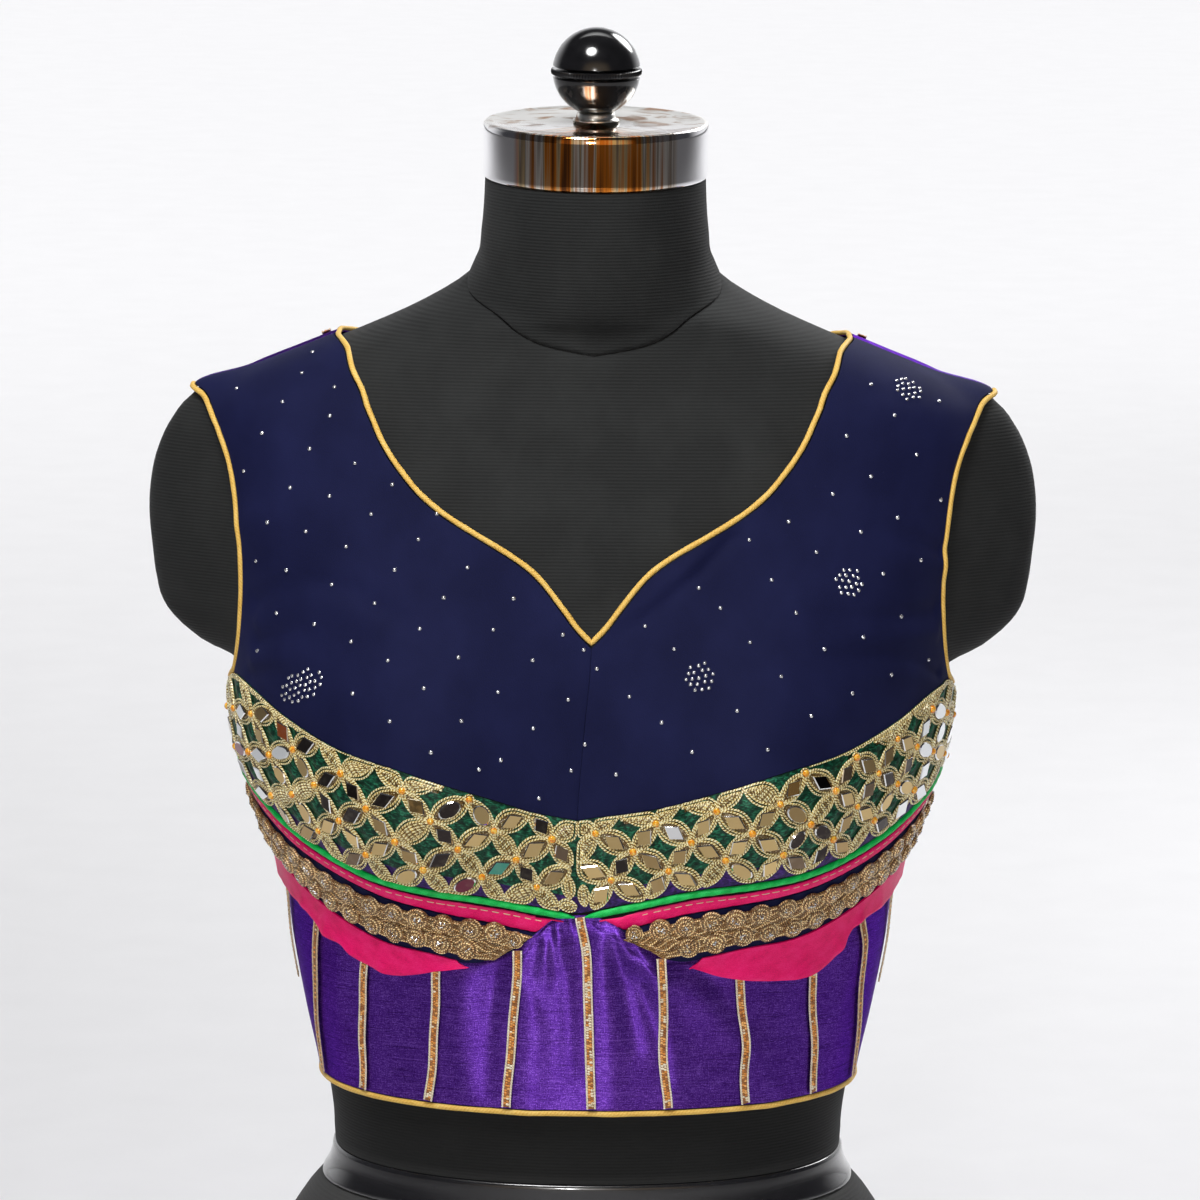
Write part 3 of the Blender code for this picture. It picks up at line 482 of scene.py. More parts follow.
# %% Stamps
def stamp(work, template, origins, frames, scale=1.0, tones=None):
    """Copies of a template at each origin. A frame's columns are its side, up and outward directions."""
    shape = np.concatenate(template.points)
    origins = np.asarray(origins, float).reshape(-1, 3)
    scale = np.broadcast_to(np.asarray(scale, float), (len(origins), 3))
    for k, (origin, turned) in enumerate(zip(origins, frames)):
        points = origin + (shape * scale[k]) @ turned.T
        for group, tone in zip(template.faces, template.tones):
            work.faces.append(group + work.count)
            work.tones.append(tone if tones is None else tone * tones[k])
        work.points.append(points)
        work.flat.append(np.concatenate(template.flat))
        work.count += len(points)
    return work


def turned_solid(profile, segments):
    """A small closed template turned from (radius, height) rows, bottom to top."""
    angle = 2 * np.pi * np.arange(segments) / segments
    ring = np.stack([np.cos(angle), np.sin(angle)], -1)
    rows = [np.column_stack([ring * r, np.full(segments, h)]) for r, h in profile]
    return wrapped(Work(), np.array(rows))


def frames_on(height, turn, out):
    """Origins on the cloth and frames of side, up and outward directions there."""
    height, turn = np.asarray(height, float), np.asarray(turn, float)
    side = unit(cloth_line(height, turn + 0.4, out) - cloth_line(height, turn - 0.4, out))
    up = cloth_line(height + 1.0, turn, out) - cloth_line(height - 1.0, turn, out)
    outward = unit(np.cross(side, up))
    return cloth_line(height, turn, out), np.stack([side, np.cross(outward, side), outward], -1)


def rotated(frames, angle):
    """The frames turned about their outward direction."""
    c, s = np.cos(angle)[:, None], np.sin(angle)[:, None]
    side = frames[..., 0] * c + frames[..., 1] * s
    up = frames[..., 1] * c - frames[..., 0] * s
    return np.stack([side, up, frames[..., 2]], -1)


print("small things that repeat: stamp")

# %% [markdown]
# ## Finishes as sums
# A finish is a small sum: a base dye, plus the darker valleys of a weave, plus dust. Blender does such sums
# with nodes, which are slow to read, so one small class wraps a node's socket and turns Python's own signs
# into Math nodes. `1 - weave` then means just that. Colours are mixed, because a Math node would turn them
# grey.

# %% A socket that can be added and multiplied
class Value:
    def __init__(self, nodes, socket):
        self.nodes, self.socket = nodes, socket

    def math(self, operation, *others):
        return self.nodes.node("ShaderNodeMath", {"operation": operation}, dict(enumerate((self, *others))))

    def reflected(self, operation, other):
        return self.nodes.node("ShaderNodeMath", {"operation": operation}, {0: other, 1: self})

    def __add__(self, other):
        return self.math("ADD", other)

    def __sub__(self, other):
        return self.math("SUBTRACT", other)

    def __rsub__(self, other):
        return self.reflected("SUBTRACT", other)

    def __mul__(self, other):
        return self.math("MULTIPLY", other)

    __radd__ = __add__
    __rmul__ = __mul__

    def output(self, index):
        return Value(self.nodes, self.socket.node.outputs[index])


def dye(red, green, blue):
    """A colour from its 0 to 255 numbers, as the light that it reflects."""
    return tuple(c / 12.92 if c < 0.04045 else ((c + 0.055) / 1.055) ** 2.4 for c in
                 (red / 255, green / 255, blue / 255))


print("navy as light", np.round(dye(14, 20, 68), 3))

# %% A tree of nodes
class Nodes:
    """A tree of nodes, and the one method that makes them."""

    def __init__(self, tree):
        self.tree = tree

    def node(self, kind, settings=None, sockets=None, out=0):
        """Any node: its type, its settings, then the values or links of its sockets."""
        made = self.tree.nodes.new(kind)
        for key, value in (settings or {}).items():
            if key == "stops":
                ramp = made.color_ramp
                while len(ramp.elements) < len(value):
                    ramp.elements.new(1.0)
                for element, (at, colour) in zip(ramp.elements, value):
                    element.position = at
                    element.color = (*colour, 1.0)
            else:
                setattr(made, key, value)
        for key, value in (sockets or {}).items():
            if isinstance(value, Value):
                self.tree.links.new(value.socket, made.inputs[key])
            else:
                made.inputs[key].default_value = value
        return Value(self, made.outputs[out])

    def parts(self, place):
        """The x, y and z of a place."""
        first = self.node("ShaderNodeSeparateXYZ", None, {0: place})
        return first, first.output(1), first.output(2)

    def mix(self, share, first, second):
        pair = {key: colour if isinstance(colour, Value) else (*colour, 1.0) for key, colour in
                ((6, first), (7, second))}
        return self.node("ShaderNodeMix", {"data_type": "RGBA"}, {0: share, **pair}, out=2)


print("one method makes every node")

# %% A finish
class Finish(Nodes):
    """A procedural material, with a slot name: its own name unless another slot is given."""

    def __init__(self, name, slot=None, **constants):
        self.slot = slot or name
        self.material = bpy.data.materials.new(name)
        self.material.use_nodes = True
        super().__init__(self.material.node_tree)
        self.shader = self.tree.nodes["Principled BSDF"]
        for socket, value in constants.items():
            self.shader.inputs[socket.replace("_", " ")].default_value = value

    def feed(self, **sockets):
        for socket, value in sockets.items():
            self.tree.links.new(value.socket, self.shader.inputs[socket.replace("_", " ")])

    def cloth_place(self):
        """Millimetres on the flat cloth, or along and round a tube."""
        return self.node("ShaderNodeUVMap", {"uv_map": "Cloth"})

    def space(self):
        """Millimetres in the frame."""
        place = self.node("ShaderNodeTexCoord", out=3)
        return self.node("ShaderNodeVectorMath", {"operation": "MULTIPLY"}, {0: place, 1: (1000.0,) * 3})

    def noise(self, place, size, detail=2.0, distortion=0.0):
        """Soft noise from 0 to 1. Size is one number or one for each direction, in mm."""
        sizes = size if hasattr(size, "__len__") else (size,) * 3
        scaled = self.node("ShaderNodeVectorMath", {"operation": "MULTIPLY"},
                           {0: place, 1: tuple(1.0 / s for s in sizes)})
        return self.node("ShaderNodeTexNoise", None,
                         {"Vector": scaled, "Scale": 1.0, "Detail": detail, "Distortion": distortion})

    def ramp(self, value, *stops):
        return self.node("ShaderNodeValToRGB", {"stops": stops}, {0: value})

    def tinted(self, first, second):
        """One colour through another, as light through a dyed thread."""
        return self.node("ShaderNodeMix", {"data_type": "RGBA", "blend_type": "MULTIPLY"},
                         {0: 1.0, 6: first, 7: second}, out=2)

    def tone(self):
        return self.node("ShaderNodeAttribute", {"attribute_name": "tone"})

    def bump(self, height, depth=1.0, strength=1.0):
        """Height as a number, and how many mm one of it is."""
        self.feed(Normal=self.node("ShaderNodeBump", None,
                                   {"Height": height, "Distance": depth * MM, "Strength": strength}))


def steps(value, low, high):
    """0 below low, 1 above high, straight between."""
    return value.nodes.node("ShaderNodeMapRange", None, {0: value, 1: low, 2: high, 3: 0.0, 4: 1.0})


print("finishes are sums of sockets")

# %% [markdown]
# ## Crepe and dupioni
# The fronts are a dull navy crepe: its yarns are twisted so hard that they kink, so the surface is an even
# fine grain with no shine. The midriff and backs are dupioni, a crisp silk from uneven double cocoons:
# thick yarns run across as slubs, and the warp and weft take the light differently. Both could be one
# noise, but stretching the noise along the yarns, in the places of the flat cloth, is what makes the second
# look woven.

# %% Navy crepe
def plain_weave(finish, place, pitch):
    """Threads that pass over and under each other, from 0 to 1."""
    across, up, _ = finish.parts(place)
    warp = (across * (2 * math.pi / pitch)).math("SINE")
    weft = (up * (2 * math.pi / pitch)).math("SINE")
    return warp * weft * 0.5 + 0.5


def navy_crepe():
    finish = Finish("navy_crepe", Sheen_Weight=0.06, Sheen_Roughness=0.5,
                    Sheen_Tint=(*dye(96, 104, 190), 1.0), Specular_IOR_Level=0.2)
    place = finish.cloth_place()
    grain = finish.noise(place, (0.5, 0.8, 1.0), 3.0)
    wear_and_sheen = finish.noise(place, (34.0, 46.0, 1.0), 3.0)
    fluff = steps(finish.noise(place, (2.6, 2.2, 1.0), 4.0), 0.70, 0.82)
    colour = finish.mix(grain, dye(6, 9, 40), dye(14, 20, 68))
    # broad lighter patches: wear, and painted sheen
    colour = finish.mix(steps(wear_and_sheen, 0.35, 0.75) * 0.35, colour, dye(34, 39, 88))
    finish.feed(Base_Color=finish.mix(fluff * 0.10, colour, dye(92, 98, 140)), Roughness=0.72 + grain * 0.16)
    finish.bump(grain + plain_weave(finish, place, 0.62) * 0.5, 0.10, 0.7)
    return finish


crepe = navy_crepe()
print("navy crepe is ready")

# %% Dupioni silk
def dupioni(name, dark, base, light, shine=0.4):
    finish = Finish(name, Metallic=0.9, Anisotropic=0.85, Anisotropic_Rotation=0.25, Specular_IOR_Level=0.4,
                    Specular_Tint=(0.3, 0.16, 0.45, 1.0))
    place = finish.cloth_place()
    slub = finish.noise(place, (26.0, 0.8, 1.0), 3.0, 0.15)
    weft = finish.noise(place, (3.2, 0.42, 1.0), 2.0)
    warp = finish.noise(place, (0.4, 4.5, 1.0), 2.0)
    speckle = finish.noise(place, (0.62, 0.55, 1.0), 3.0)
    watered = finish.noise(place, (16.0, 11.0, 1.0), 3.0, 0.6)
    thick, thin = steps(slub, 0.58, 0.7), steps(slub, 0.42, 0.32)
    shade = weft * 0.3 + warp * 0.16 + speckle * 0.44 + watered * 0.1
    colour = finish.ramp(shade, (0.34, dark), (0.5, base), (0.64, light))
    # tiny glints are painted light, as painted highlights
    glint = steps(finish.noise(place, (0.8, 0.7, 1.0), 1.0), 0.69, 0.75)
    colour = finish.mix(thin * 0.6, colour, dark)
    finish.feed(Base_Color=finish.mix(thick * 0.35 + glint * 0.9, colour, light),
                Roughness=shine + weft * 0.16 + speckle * 0.12 - glint * 0.1)
    finish.bump(weft * 0.5 + thick * 1.2 - thin * 0.7 + warp * 0.3 + speckle * 0.4, 0.025, 0.8)
    return finish


purple_silk = dupioni("purple_silk", dye(54, 24, 96), dye(96, 48, 162), dye(168, 112, 240))
print("dupioni is ready")

# %% [markdown]
# ## Satin, piping and metal thread
# Satin floats its threads over many others, so it is smooth along them and bright. The green cord is satin
# rolled tight, with a twist; the magenta is satin laid flat; the yellow piping is a bias strip, so its
# weave runs at a slant. Metal thread is flat gilt wire wound on a silk core: a metal with a tight slanting
# ripple.

# %% Satin
def satin(name, dark, base, light, twist=None, slot=None, rough=0.36):
    """A satin tube or ribbon. A twist is the mm along it for one turn of its rolled edge."""
    finish = Finish(name, slot, Sheen_Weight=0.05, Sheen_Roughness=0.3, Sheen_Tint=(*light, 1.0),
                    Specular_IOR_Level=0.28)
    place = finish.cloth_place()
    along, round_it, _ = finish.parts(place)
    float_thread = finish.noise(place, (1.6, 0.3, 1.0), 3.0)
    speck = finish.noise(place, (0.5, 0.45, 1.0), 3.0)
    soft = finish.noise(place, (9.0, 5.0, 1.0), 2.0)
    shade = float_thread * 0.3 + speck * 0.4 + soft * 0.3
    height = float_thread * 0.35 + speck * 0.5
    if twist:
        roll = ((along + round_it * 0.8) * (2 * math.pi / twist) + soft * 2.0).math("SINE") * 0.5 + 0.5
        # the rolled edge is also painted a little lighter along its turns, as painted highlight
        shade = shade * 0.92 + roll * 0.08
        height = height + roll * 0.15
    finish.feed(Base_Color=finish.ramp(shade, (0.3, dark), (0.5, base), (0.7, light)),
                Roughness=rough + float_thread * 0.18)
    finish.bump(height, 0.05, 0.8)
    return finish


print("a satin has three dyes, and a twist if it is a cord")

# %% Gilt thread
def gilt_thread(name, slot, dark, base, light, pitch=0.7, rough=0.3, metal=0.75, painted_sparkle=0.0):
    """Flat gilt wire wound on a core, seen as a slanting ripple along each strand."""
    finish = Finish(name, slot, Metallic=metal, Specular_IOR_Level=0.6)
    place = finish.cloth_place()
    along, round_it, _ = finish.parts(place)
    wound = ((along + round_it * 0.5) * (2 * math.pi / pitch)).math("SINE") * 0.5 + 0.5
    spread = finish.noise(finish.space(), 3.0, 3.0)
    fine = finish.noise(finish.space(), 0.55, 2.0)
    # the wound ripple also lightens and darkens the colour, as painted highlight and shade along the wire
    shade = wound * 0.3 + spread * 0.4 + fine * 0.3
    colour = finish.tinted(finish.ramp(shade, (0.38, dark), (0.47, base), (0.58, light)), finish.tone())
    # sparkles are painted light in spots, as painted highlights
    if painted_sparkle:
        colour = finish.mix(steps(fine, 0.6, 0.67) * painted_sparkle, colour, light)
    finish.feed(Base_Color=colour, Roughness=rough + fine * 0.2)
    finish.bump(wound * 0.5 + fine * 0.6, 0.045, 0.9)
    return finish


print("a gilt thread has three dyes and the pitch of its wire")

# %% The satins and gilt threads
CORD_TWIST = 7.5    # mm along the green cord for one turn of its rolled edge
green_satin = satin("green_cord", dye(0, 140, 58), dye(4, 204, 88), dye(70, 236, 136), twist=CORD_TWIST)
magenta_satin = satin("magenta_silk", dye(206, 0, 80), dye(252, 0, 112), dye(255, 62, 146))
yellow_piping = satin("yellow_piping", dye(206, 152, 60), dye(244, 198, 98), dye(255, 230, 150), twist=1.8,
                      rough=0.45)
pale_gilt = gilt_thread("pale_gilt", "mirror_work", dye(104, 72, 16), dye(255, 216, 94), dye(255, 254, 216),
                        pitch=1.5, rough=0.2, metal=0.05, painted_sparkle=0.9)
lace_gilt = gilt_thread("antique_zari", None, dye(96, 56, 20), dye(254, 184, 92), dye(255, 248, 208),
                        pitch=1.2, rough=0.22, metal=0.08, painted_sparkle=0.8)
copper_gilt = gilt_thread("gold_stripe", None, dye(200, 184, 156), dye(250, 242, 224), dye(255, 255, 250),
                          metal=0.05, rough=0.36)
cream_thread = satin("cream_thread", dye(206, 184, 140), dye(238, 222, 184), dye(250, 242, 216),
                     slot="magenta_silk", rough=0.5)
print("satins and gilt threads are ready")

# %% [markdown]
# ## Mirror, glass and stones
# The work uses small cut mirrors, which are silvered glass: nearly perfect mirrors whose tone is mostly
# what they reflect, so each is given its own tone as a painted reflection. Their ground edges are brighter.
# Beads are amber glass, lit from inside as much as from outside, so they get a clear coat over a strong
# colour. The stones on the crepe are little silver domes.

# %% Mirrors, beads and stones
def cut_mirror():
    finish = Finish("cut_mirror", "mirror_work", Metallic=1.0, Coat_Weight=0.25, Coat_Roughness=0.03)
    clouded = finish.noise(finish.space(), 4.0, 3.0)
    # the tone is the mirror's painted reflection
    colour = finish.mix(steps(clouded, 0.5, 0.85) * 0.1, finish.tone(), dye(226, 214, 184))
    finish.feed(Base_Color=colour, Roughness=0.05 + steps(clouded, 0.4, 0.8) * 0.14)
    finish.bump(clouded, 0.05, 0.25)
    return finish


def amber_bead():
    finish = Finish("amber_bead", "mirror_work", Coat_Weight=0.9, Coat_Roughness=0.04, Specular_IOR_Level=0.6)
    swirl = finish.noise(finish.space(), 1.4, 2.0)
    finish.feed(Base_Color=finish.ramp(swirl, (0.3, dye(226, 120, 8)), (0.52, dye(250, 170, 30)),
                                       (0.7, dye(255, 220, 96))), Roughness=0.12 + swirl * 0.12)
    finish.bump(swirl, 0.10, 0.3)
    return finish


def silver_stone():
    finish = Finish("silver_stone", "navy_crepe", Metallic=0.85, Coat_Weight=0.5, Coat_Roughness=0.05)
    spark = finish.noise(finish.space(), 0.7, 1.0)
    finish.feed(Base_Color=finish.ramp(spark, (0.3, dye(190, 194, 204)), (0.6, dye(250, 250, 252))),
                Roughness=0.14 + spark * 0.16)
    finish.bump(spark, 0.1, 0.4)
    return finish


mirror_glass, amber, stone_finish = cut_mirror(), amber_bead(), silver_stone()
print("mirror, amber and stone are ready")

# %% The silk behind the mirrors
EMERALD_FOOT = 10.5    # mm above the green cord at which the purple silk gives way to the emerald


def emerald_silk():
    """Crumpled silk behind the petals, purple along the cord and emerald above it."""
    finish = Finish("band_silk", "mirror_work", Metallic=0.25, Specular_IOR_Level=0.4)
    place = finish.cloth_place()
    _, up, _ = finish.parts(place)
    crumple = finish.noise(place, (2.4, 1.7, 1.0), 3.0, 0.6)
    weft = finish.noise(place, (3.0, 0.34, 1.0), 2.0)
    shade = crumple * 0.6 + weft * 0.4
    emerald = finish.ramp(shade, (0.36, dye(0, 22, 15)), (0.5, dye(4, 62, 43)), (0.64, dye(44, 138, 102)))
    purple = finish.ramp(shade, (0.34, dye(24, 8, 48)), (0.5, dye(50, 20, 96)), (0.68, dye(88, 50, 146)))
    finish.feed(Base_Color=finish.mix(up.math("GREATER_THAN", EMERALD_FOOT), purple, emerald),
                Roughness=0.34 + weft * 0.25)
    finish.bump(crumple * 0.9 + weft * 0.06, 0.5, 0.7)
    return finish


band_silk = emerald_silk()
print("band silk is ready")

# %% [markdown]
# ## The form's own finishes
# The form is covered in a black jersey whose fine ribs run round it. It has a glossy waist band, a polished
# neck cap that is rusty on top, and a black ball knob. Jersey could be a plain black, but its ribs catch
# the light in rows and it holds dust, and both keep it from looking like rubber.

# %% Jersey and plastic
def black_jersey():
    finish = Finish("black_jersey", Sheen_Weight=0.12, Sheen_Roughness=0.5,
                    Sheen_Tint=(*dye(150, 150, 152), 1.0), Specular_IOR_Level=0.3)
    space = finish.space()
    across, deep, up = finish.parts(space)
    rib = (up * (2 * math.pi / 1.55)).math("SINE") * 0.5 + 0.5
    fuzz = finish.noise(space, 0.7, 3.0)
    dust = finish.noise(space, (26.0, 26.0, 34.0), 4.0)
    below = steps(up, 215.0, 196.0)
    hem_shade = steps(up, 268.0, 240.0) * (1 - below) * 0.7
    # the ribs are also painted lighter in rows, as painted highlight
    colour = finish.mix(rib * 0.35 + fuzz * 0.5, dye(15, 16, 17), dye(44, 46, 46))
    colour = finish.mix(steps(dust, 0.42, 0.72) * 0.25, colour, dye(56, 58, 58))
    colour = finish.mix(hem_shade, colour, dye(6, 7, 7))    # painted shade under the hem of the blouse
    finish.feed(Base_Color=finish.mix(below * 0.35, colour, dye(98, 98, 98)), Roughness=0.72 + fuzz * 0.2)
    finish.bump(rib * 0.8 + fuzz * 0.7, 0.16, 0.8)
    return finish


def black_plastic():
    finish = Finish("black_plastic", Coat_Weight=0.8, Coat_Roughness=0.06, Specular_IOR_Level=0.6)
    space = finish.space()
    _, _, up = finish.parts(space)
    wave = finish.noise(space, (30.0, 30.0, 6.0), 3.0)
    scratch = finish.noise(space, (9.0, 9.0, 0.5), 3.0)
    finish.feed(Base_Color=finish.mix(wave, dye(12, 12, 14), dye(40, 40, 44)),
                Roughness=0.16 + scratch * 0.16)
    finish.bump(wave * 0.5 + scratch * 0.12, 0.4, 0.4)
    return finish


jersey, plastic = black_jersey(), black_plastic()
print("jersey and plastic are ready")

# %% Chrome and the ball
def stained_chrome():
    finish = Finish("chrome", Metallic=1.0)
    space = finish.space()
    across, deep, up = finish.parts(space)
    top = steps(up, 708.0, 710.5)
    angle = across.math("ARCTAN2", deep * -1.0)
    around = finish.node("ShaderNodeCombineXYZ", None, {0: angle * 10.0, 1: 3.0, 2: up * 0.004})
    broad, narrow = finish.noise(around, (1.7, 1.0, 1.0), 1.0), finish.noise(around, (0.5, 1.0, 1.0), 2.0)
    # painted reflections of the room, as coloured streaks round the side
    painted_room_reflection = finish.ramp(broad * 0.6 + narrow * 0.4, (0.36, dye(120, 74, 44)), (0.43, dye(244, 142, 48)),
                          (0.47, dye(240, 212, 160)), (0.51, dye(160, 140, 122)), (0.56, dye(255, 250, 240)),
                          (0.62, dye(190, 122, 64)))
    # the front of the side carries painted reflections of the room in coloured streaks; its left and right
    # are painted bright, as a painted reflection of pale walls
    painted_room_reflection = finish.mix(steps(angle.math("ABSOLUTE"), 0.72, 0.80), painted_room_reflection, dye(246, 246, 248))
    stain = finish.noise(space, (15.0, 10.0, 9.0), 5.0, 0.9)
    scuff = finish.noise(space, (9.0, 1.2, 1.2), 4.0)
    rusty = steps(stain, 0.50, 0.66)
    silver = finish.mix(rusty * 0.8, dye(250, 249, 244), dye(150, 104, 66))
    finish.feed(Base_Color=finish.mix(top, painted_room_reflection, silver), Roughness=0.08 + rusty * top * 0.4 + top * 0.2)
    finish.bump(stain * top * 0.6 + scuff * 0.12, 0.12, 0.3)
    return finish


def black_ball():
    finish = Finish("black_ball", Coat_Weight=0.6, Coat_Roughness=0.05, Specular_IOR_Level=0.6)
    haze = finish.noise(finish.space(), 7.0, 4.0)
    finish.feed(Base_Color=finish.mix(haze, dye(6, 6, 7), dye(26, 26, 28)), Roughness=0.09 + haze * 0.12)
    finish.bump(haze, 0.05, 0.2)
    return finish


chrome, ball_black = stained_chrome(), black_ball()
print("chrome and ball are ready")

# %% [markdown]
# ## The jersey form
# The form's torso ends at a seam round the base of the neck, where a second piece of jersey starts. A
# texture could draw that seam, but a groove in the mesh also shades and casts its line from the side. So
# the torso's grid runs up to the seam, the neck's grid starts there, and both roll inwards at it.

# %% Torso and neck
WAIST_TOP, WAIST_LOW = 210.0, 193.0
NECK_TOP, CAP_TOP = 684.0, 711.0
FORM_GAP, FORM_INSET, FOOT_BEVEL = 0.3, 0.6, 3.0
NECK_SEAM = ((0, 603.8), (12, 608.7), (37, 625), (78, 631.6), (112, 634), (150, 629), (180, 626))
RING_TURNS = np.linspace(-180, 180, 129)[:-1]


def form_rings(work, heights, inset):
    """A closed solid through rings of the body. Heights and insets are given for rings or for points."""
    heights = np.asarray(heights, float).reshape(len(heights), -1)
    heights = np.broadcast_to(heights, (len(heights), len(RING_TURNS)))
    inset = np.asarray(inset, float).reshape(len(heights), -1)
    ring = body_line(heights, RING_TURNS[None])
    centre = np.zeros_like(ring)
    centre[..., 1] = ring[..., 1].mean(axis=1, keepdims=True)
    radial = unit((ring - centre) * (1, 1, 0))
    return wrapped(work, ring - radial * inset[..., None])


def rolled_in(rows, depth, at_end):
    """Insets that grow over the last rows, where the jersey turns into a seam."""
    inset = np.full(rows, FORM_INSET)
    edge = depth * np.array([0.08, 0.3, 1.0])
    if at_end:
        inset[-3:] += edge
    else:
        inset[:3] += edge[::-1]
    return inset


seam_height = smooth(NECK_SEAM, np.abs(RING_TURNS))
share = np.linspace(0, 1, 120)[:, None]
torso_heights = WAIST_TOP + (seam_height - 0.35 - WAIST_TOP) * share
share = np.linspace(0, 1, 34)[:, None] ** 1.3
neck_heights = seam_height + 0.35 + (NECK_TOP - seam_height - 0.35) * share
torso = form_rings(Work(), torso_heights, rolled_in(len(torso_heights), 1.3, True))
form_rings(torso, neck_heights, rolled_in(len(neck_heights), 1.3, False))
torso.piece("torso_jersey", jersey, ["form_torso"])

# %% Hip section and waist band
hip_heights = [0, 0.9, FOOT_BEVEL, *np.linspace(8, 188, 52), 191.2, WAIST_LOW - FORM_GAP]
hip_inset = [FOOT_BEVEL, 1.6, *[FORM_INSET] * 54, 1.4]
form_rings(Work(), hip_heights, hip_inset).piece("hip_jersey", jersey, ["form_hip"])

BAND_PROFILE = (   # height, inset
    (193.0, 1.2), (193.4, 0.2), (194.4, -0.5), (196, -0.7), (200, -0.75), (205, -0.75), (207.4, -0.7),
    (208.8, -0.45), (209.5, 0.2), (209.7, 1.2),
)
waist_band = form_rings(Work(), *zip(*BAND_PROFILE))
waist_band.piece("waist_band_gloss", plastic, ["form_waist_band"], crease=60)

# %% [markdown]
# ## Neck cap and ball knob
# A metal cap closes the neck, and a ball on a small collar is the handle that lifts the form off its stand.
# The ball is two moulded halves with a finely toothed ring between them. Collar and ball are turned shapes,
# so each is a profile swung round an axis, and the axis leans with the cap.

# %% Cap, collar and ball
CAP_LEAN = math.atan(0.045)
CAP_CENTRE = -1.0
COLLAR_RADIUS, COLLAR_HEIGHT = 9.5, 4.0
KNOB_RADIUS, KNOB_FLAT = 21.0, 8.6
RIM_ANGLE, RIM_INSET, ROUND = 1.43, 1.2, 96    # where the halves turn in to the ring, and their segments
TEETH = 88
CAP_PROFILE = (   # height, inset
    (684.3, 1.3), (684.7, 0.3), (685.6, -0.3), (687, -0.4), (697, -0.3), (707, -0.4), (709.2, -0.35),
    (710.2, 0.0), (710.8, 0.7), (711.0, 1.8), (710.95, 4.0), (710.6, 5.2), (710.6, 24.0), (710.8, 42.0),
)
form_rings(Work(), *zip(*CAP_PROFILE)).piece("neck_cap_metal", chrome, ["neck_cap"], crease=50)

cap_up = np.array([0.0, -math.sin(CAP_LEAN), math.cos(CAP_LEAN)])
cap_seat = np.array([0.0, CAP_CENTRE + MIDDLE, CAP_TOP]) + cap_up * FORM_GAP
cap_frame = np.array(Matrix.Rotation(CAP_LEAN, 3, "X"))
collar_profile = ((COLLAR_RADIUS + 1.5, 0.0), (COLLAR_RADIUS + 1.5, 0.5), (COLLAR_RADIUS + 0.3, 1.0),
                  (COLLAR_RADIUS, 1.4), (COLLAR_RADIUS - 0.2, 2.6), (COLLAR_RADIUS - 0.5, 3.5),
                  (COLLAR_RADIUS - 1.2, COLLAR_HEIGHT))
collar = stamp(Work(), turned_solid(collar_profile, 64), [cap_seat], [cap_frame])
collar.piece("collar_metal", chrome, ["knob_collar"], crease=50)

low_angle = math.asin(KNOB_FLAT / KNOB_RADIUS)
ball_centre = cap_seat + cap_up * (COLLAR_HEIGHT + FORM_GAP + KNOB_RADIUS * math.cos(low_angle))
low_angles, high_angles = np.linspace(low_angle, RIM_ANGLE, 26), np.linspace(RIM_ANGLE, 0.03, 34)
half = [(KNOB_RADIUS * math.sin(a), -KNOB_RADIUS * math.cos(a)) for a in low_angles]
lower_half = turned_solid((*half, (KNOB_RADIUS - RIM_INSET, half[-1][1] + 0.8)), ROUND)
crown = [(KNOB_RADIUS * math.sin(a), KNOB_RADIUS * math.cos(a)) for a in high_angles]
upper_half = turned_solid(((KNOB_RADIUS - RIM_INSET, crown[0][1] - 0.8), *crown), ROUND)
tooth = 0.5 + 0.5 * np.cos(2 * np.pi * np.arange(TEETH * 4) / 4)
angle = 2 * np.pi * np.arange(TEETH * 4) / (TEETH * 4)
toothed = []
for reach, height in ((0.0, -1.5), (0.6, -1.1), (0.75, 0.0), (0.6, 1.1), (0.0, 1.5)):
    radius = KNOB_RADIUS - 0.1 + reach * (0.45 + 0.75 * tooth)
    ring = np.column_stack([radius * np.cos(angle), radius * np.sin(angle)])
    toothed.append(np.column_stack([ring, np.full(len(angle), height)]))
ball = Work()
for part in (lower_half, upper_half, wrapped(Work(), np.array(toothed))):
    stamp(ball, part, [ball_centre], [cap_frame])
ball.piece("ball_gloss", ball_black, ["ball_knob"], crease=35)

# %% [markdown]
# ## Seams of the blouse
# All the seams and edges are tables of places, as a pattern cutter's marks would be. Between the marks an
# edge runs on a smooth curve. A panel is then the grid between its four edges.

# %% Edges and seams
CLOTH_IN, CLOTH_OUT, SEAM_GAP = 1.8, 3.0, 0.4
CENTRE_EDGE, SIDE_EDGE, TRIM_EDGE = 0.03, 89.9, 89.5
BACK_SIDE_EDGE, BACK_CENTRE_EDGE = 90.1, 179.9
ARMPIT, UNDERARM_LINE, BLADE = 72.0, 478.0, 540.0
NECK_FRONT = (
    (0, 470.5), (2.7, 478.4), (5.1, 487.8), (8.8, 501.5), (12.5, 510.3), (18, 520.3), (23, 530.2),
    (26.5, 539.6), (29.2, 550.7), (31.4, 562), (34.4, 574.8), (41, 587), (56, 598), (70, 602.3), (90, 603.7),
)
ARMHOLE_FRONT = (
    (72, 446.5), (67.5, 459.5), (64.8, 474.7), (62.9, 492), (61.8, 511), (61.8, 528.5), (62.6, 544.9),
    (64.5, 559), (71.5, 570.2), (81.5, 577.4), (90, 580),
)
NECK_BACK = (
    (180, 545), (165, 551), (156, 561), (150, 573), (144, 585), (129, 597), (105, 602.6), (90, 603.7),
)
ARMHOLE_BACK = (
    (90, 437), (100, 438.5), (108, 444), (113, 454), (116.5, 470), (118.5, 492), (119, 517), (118.5, 540),
    (116, 557), (109, 570.5), (99.5, 577.5), (90, 580),
)
SEAM_COLUMNS = ("turn", "band_top", "green", "magenta", "lace_top", "lace_low", "frill_low")
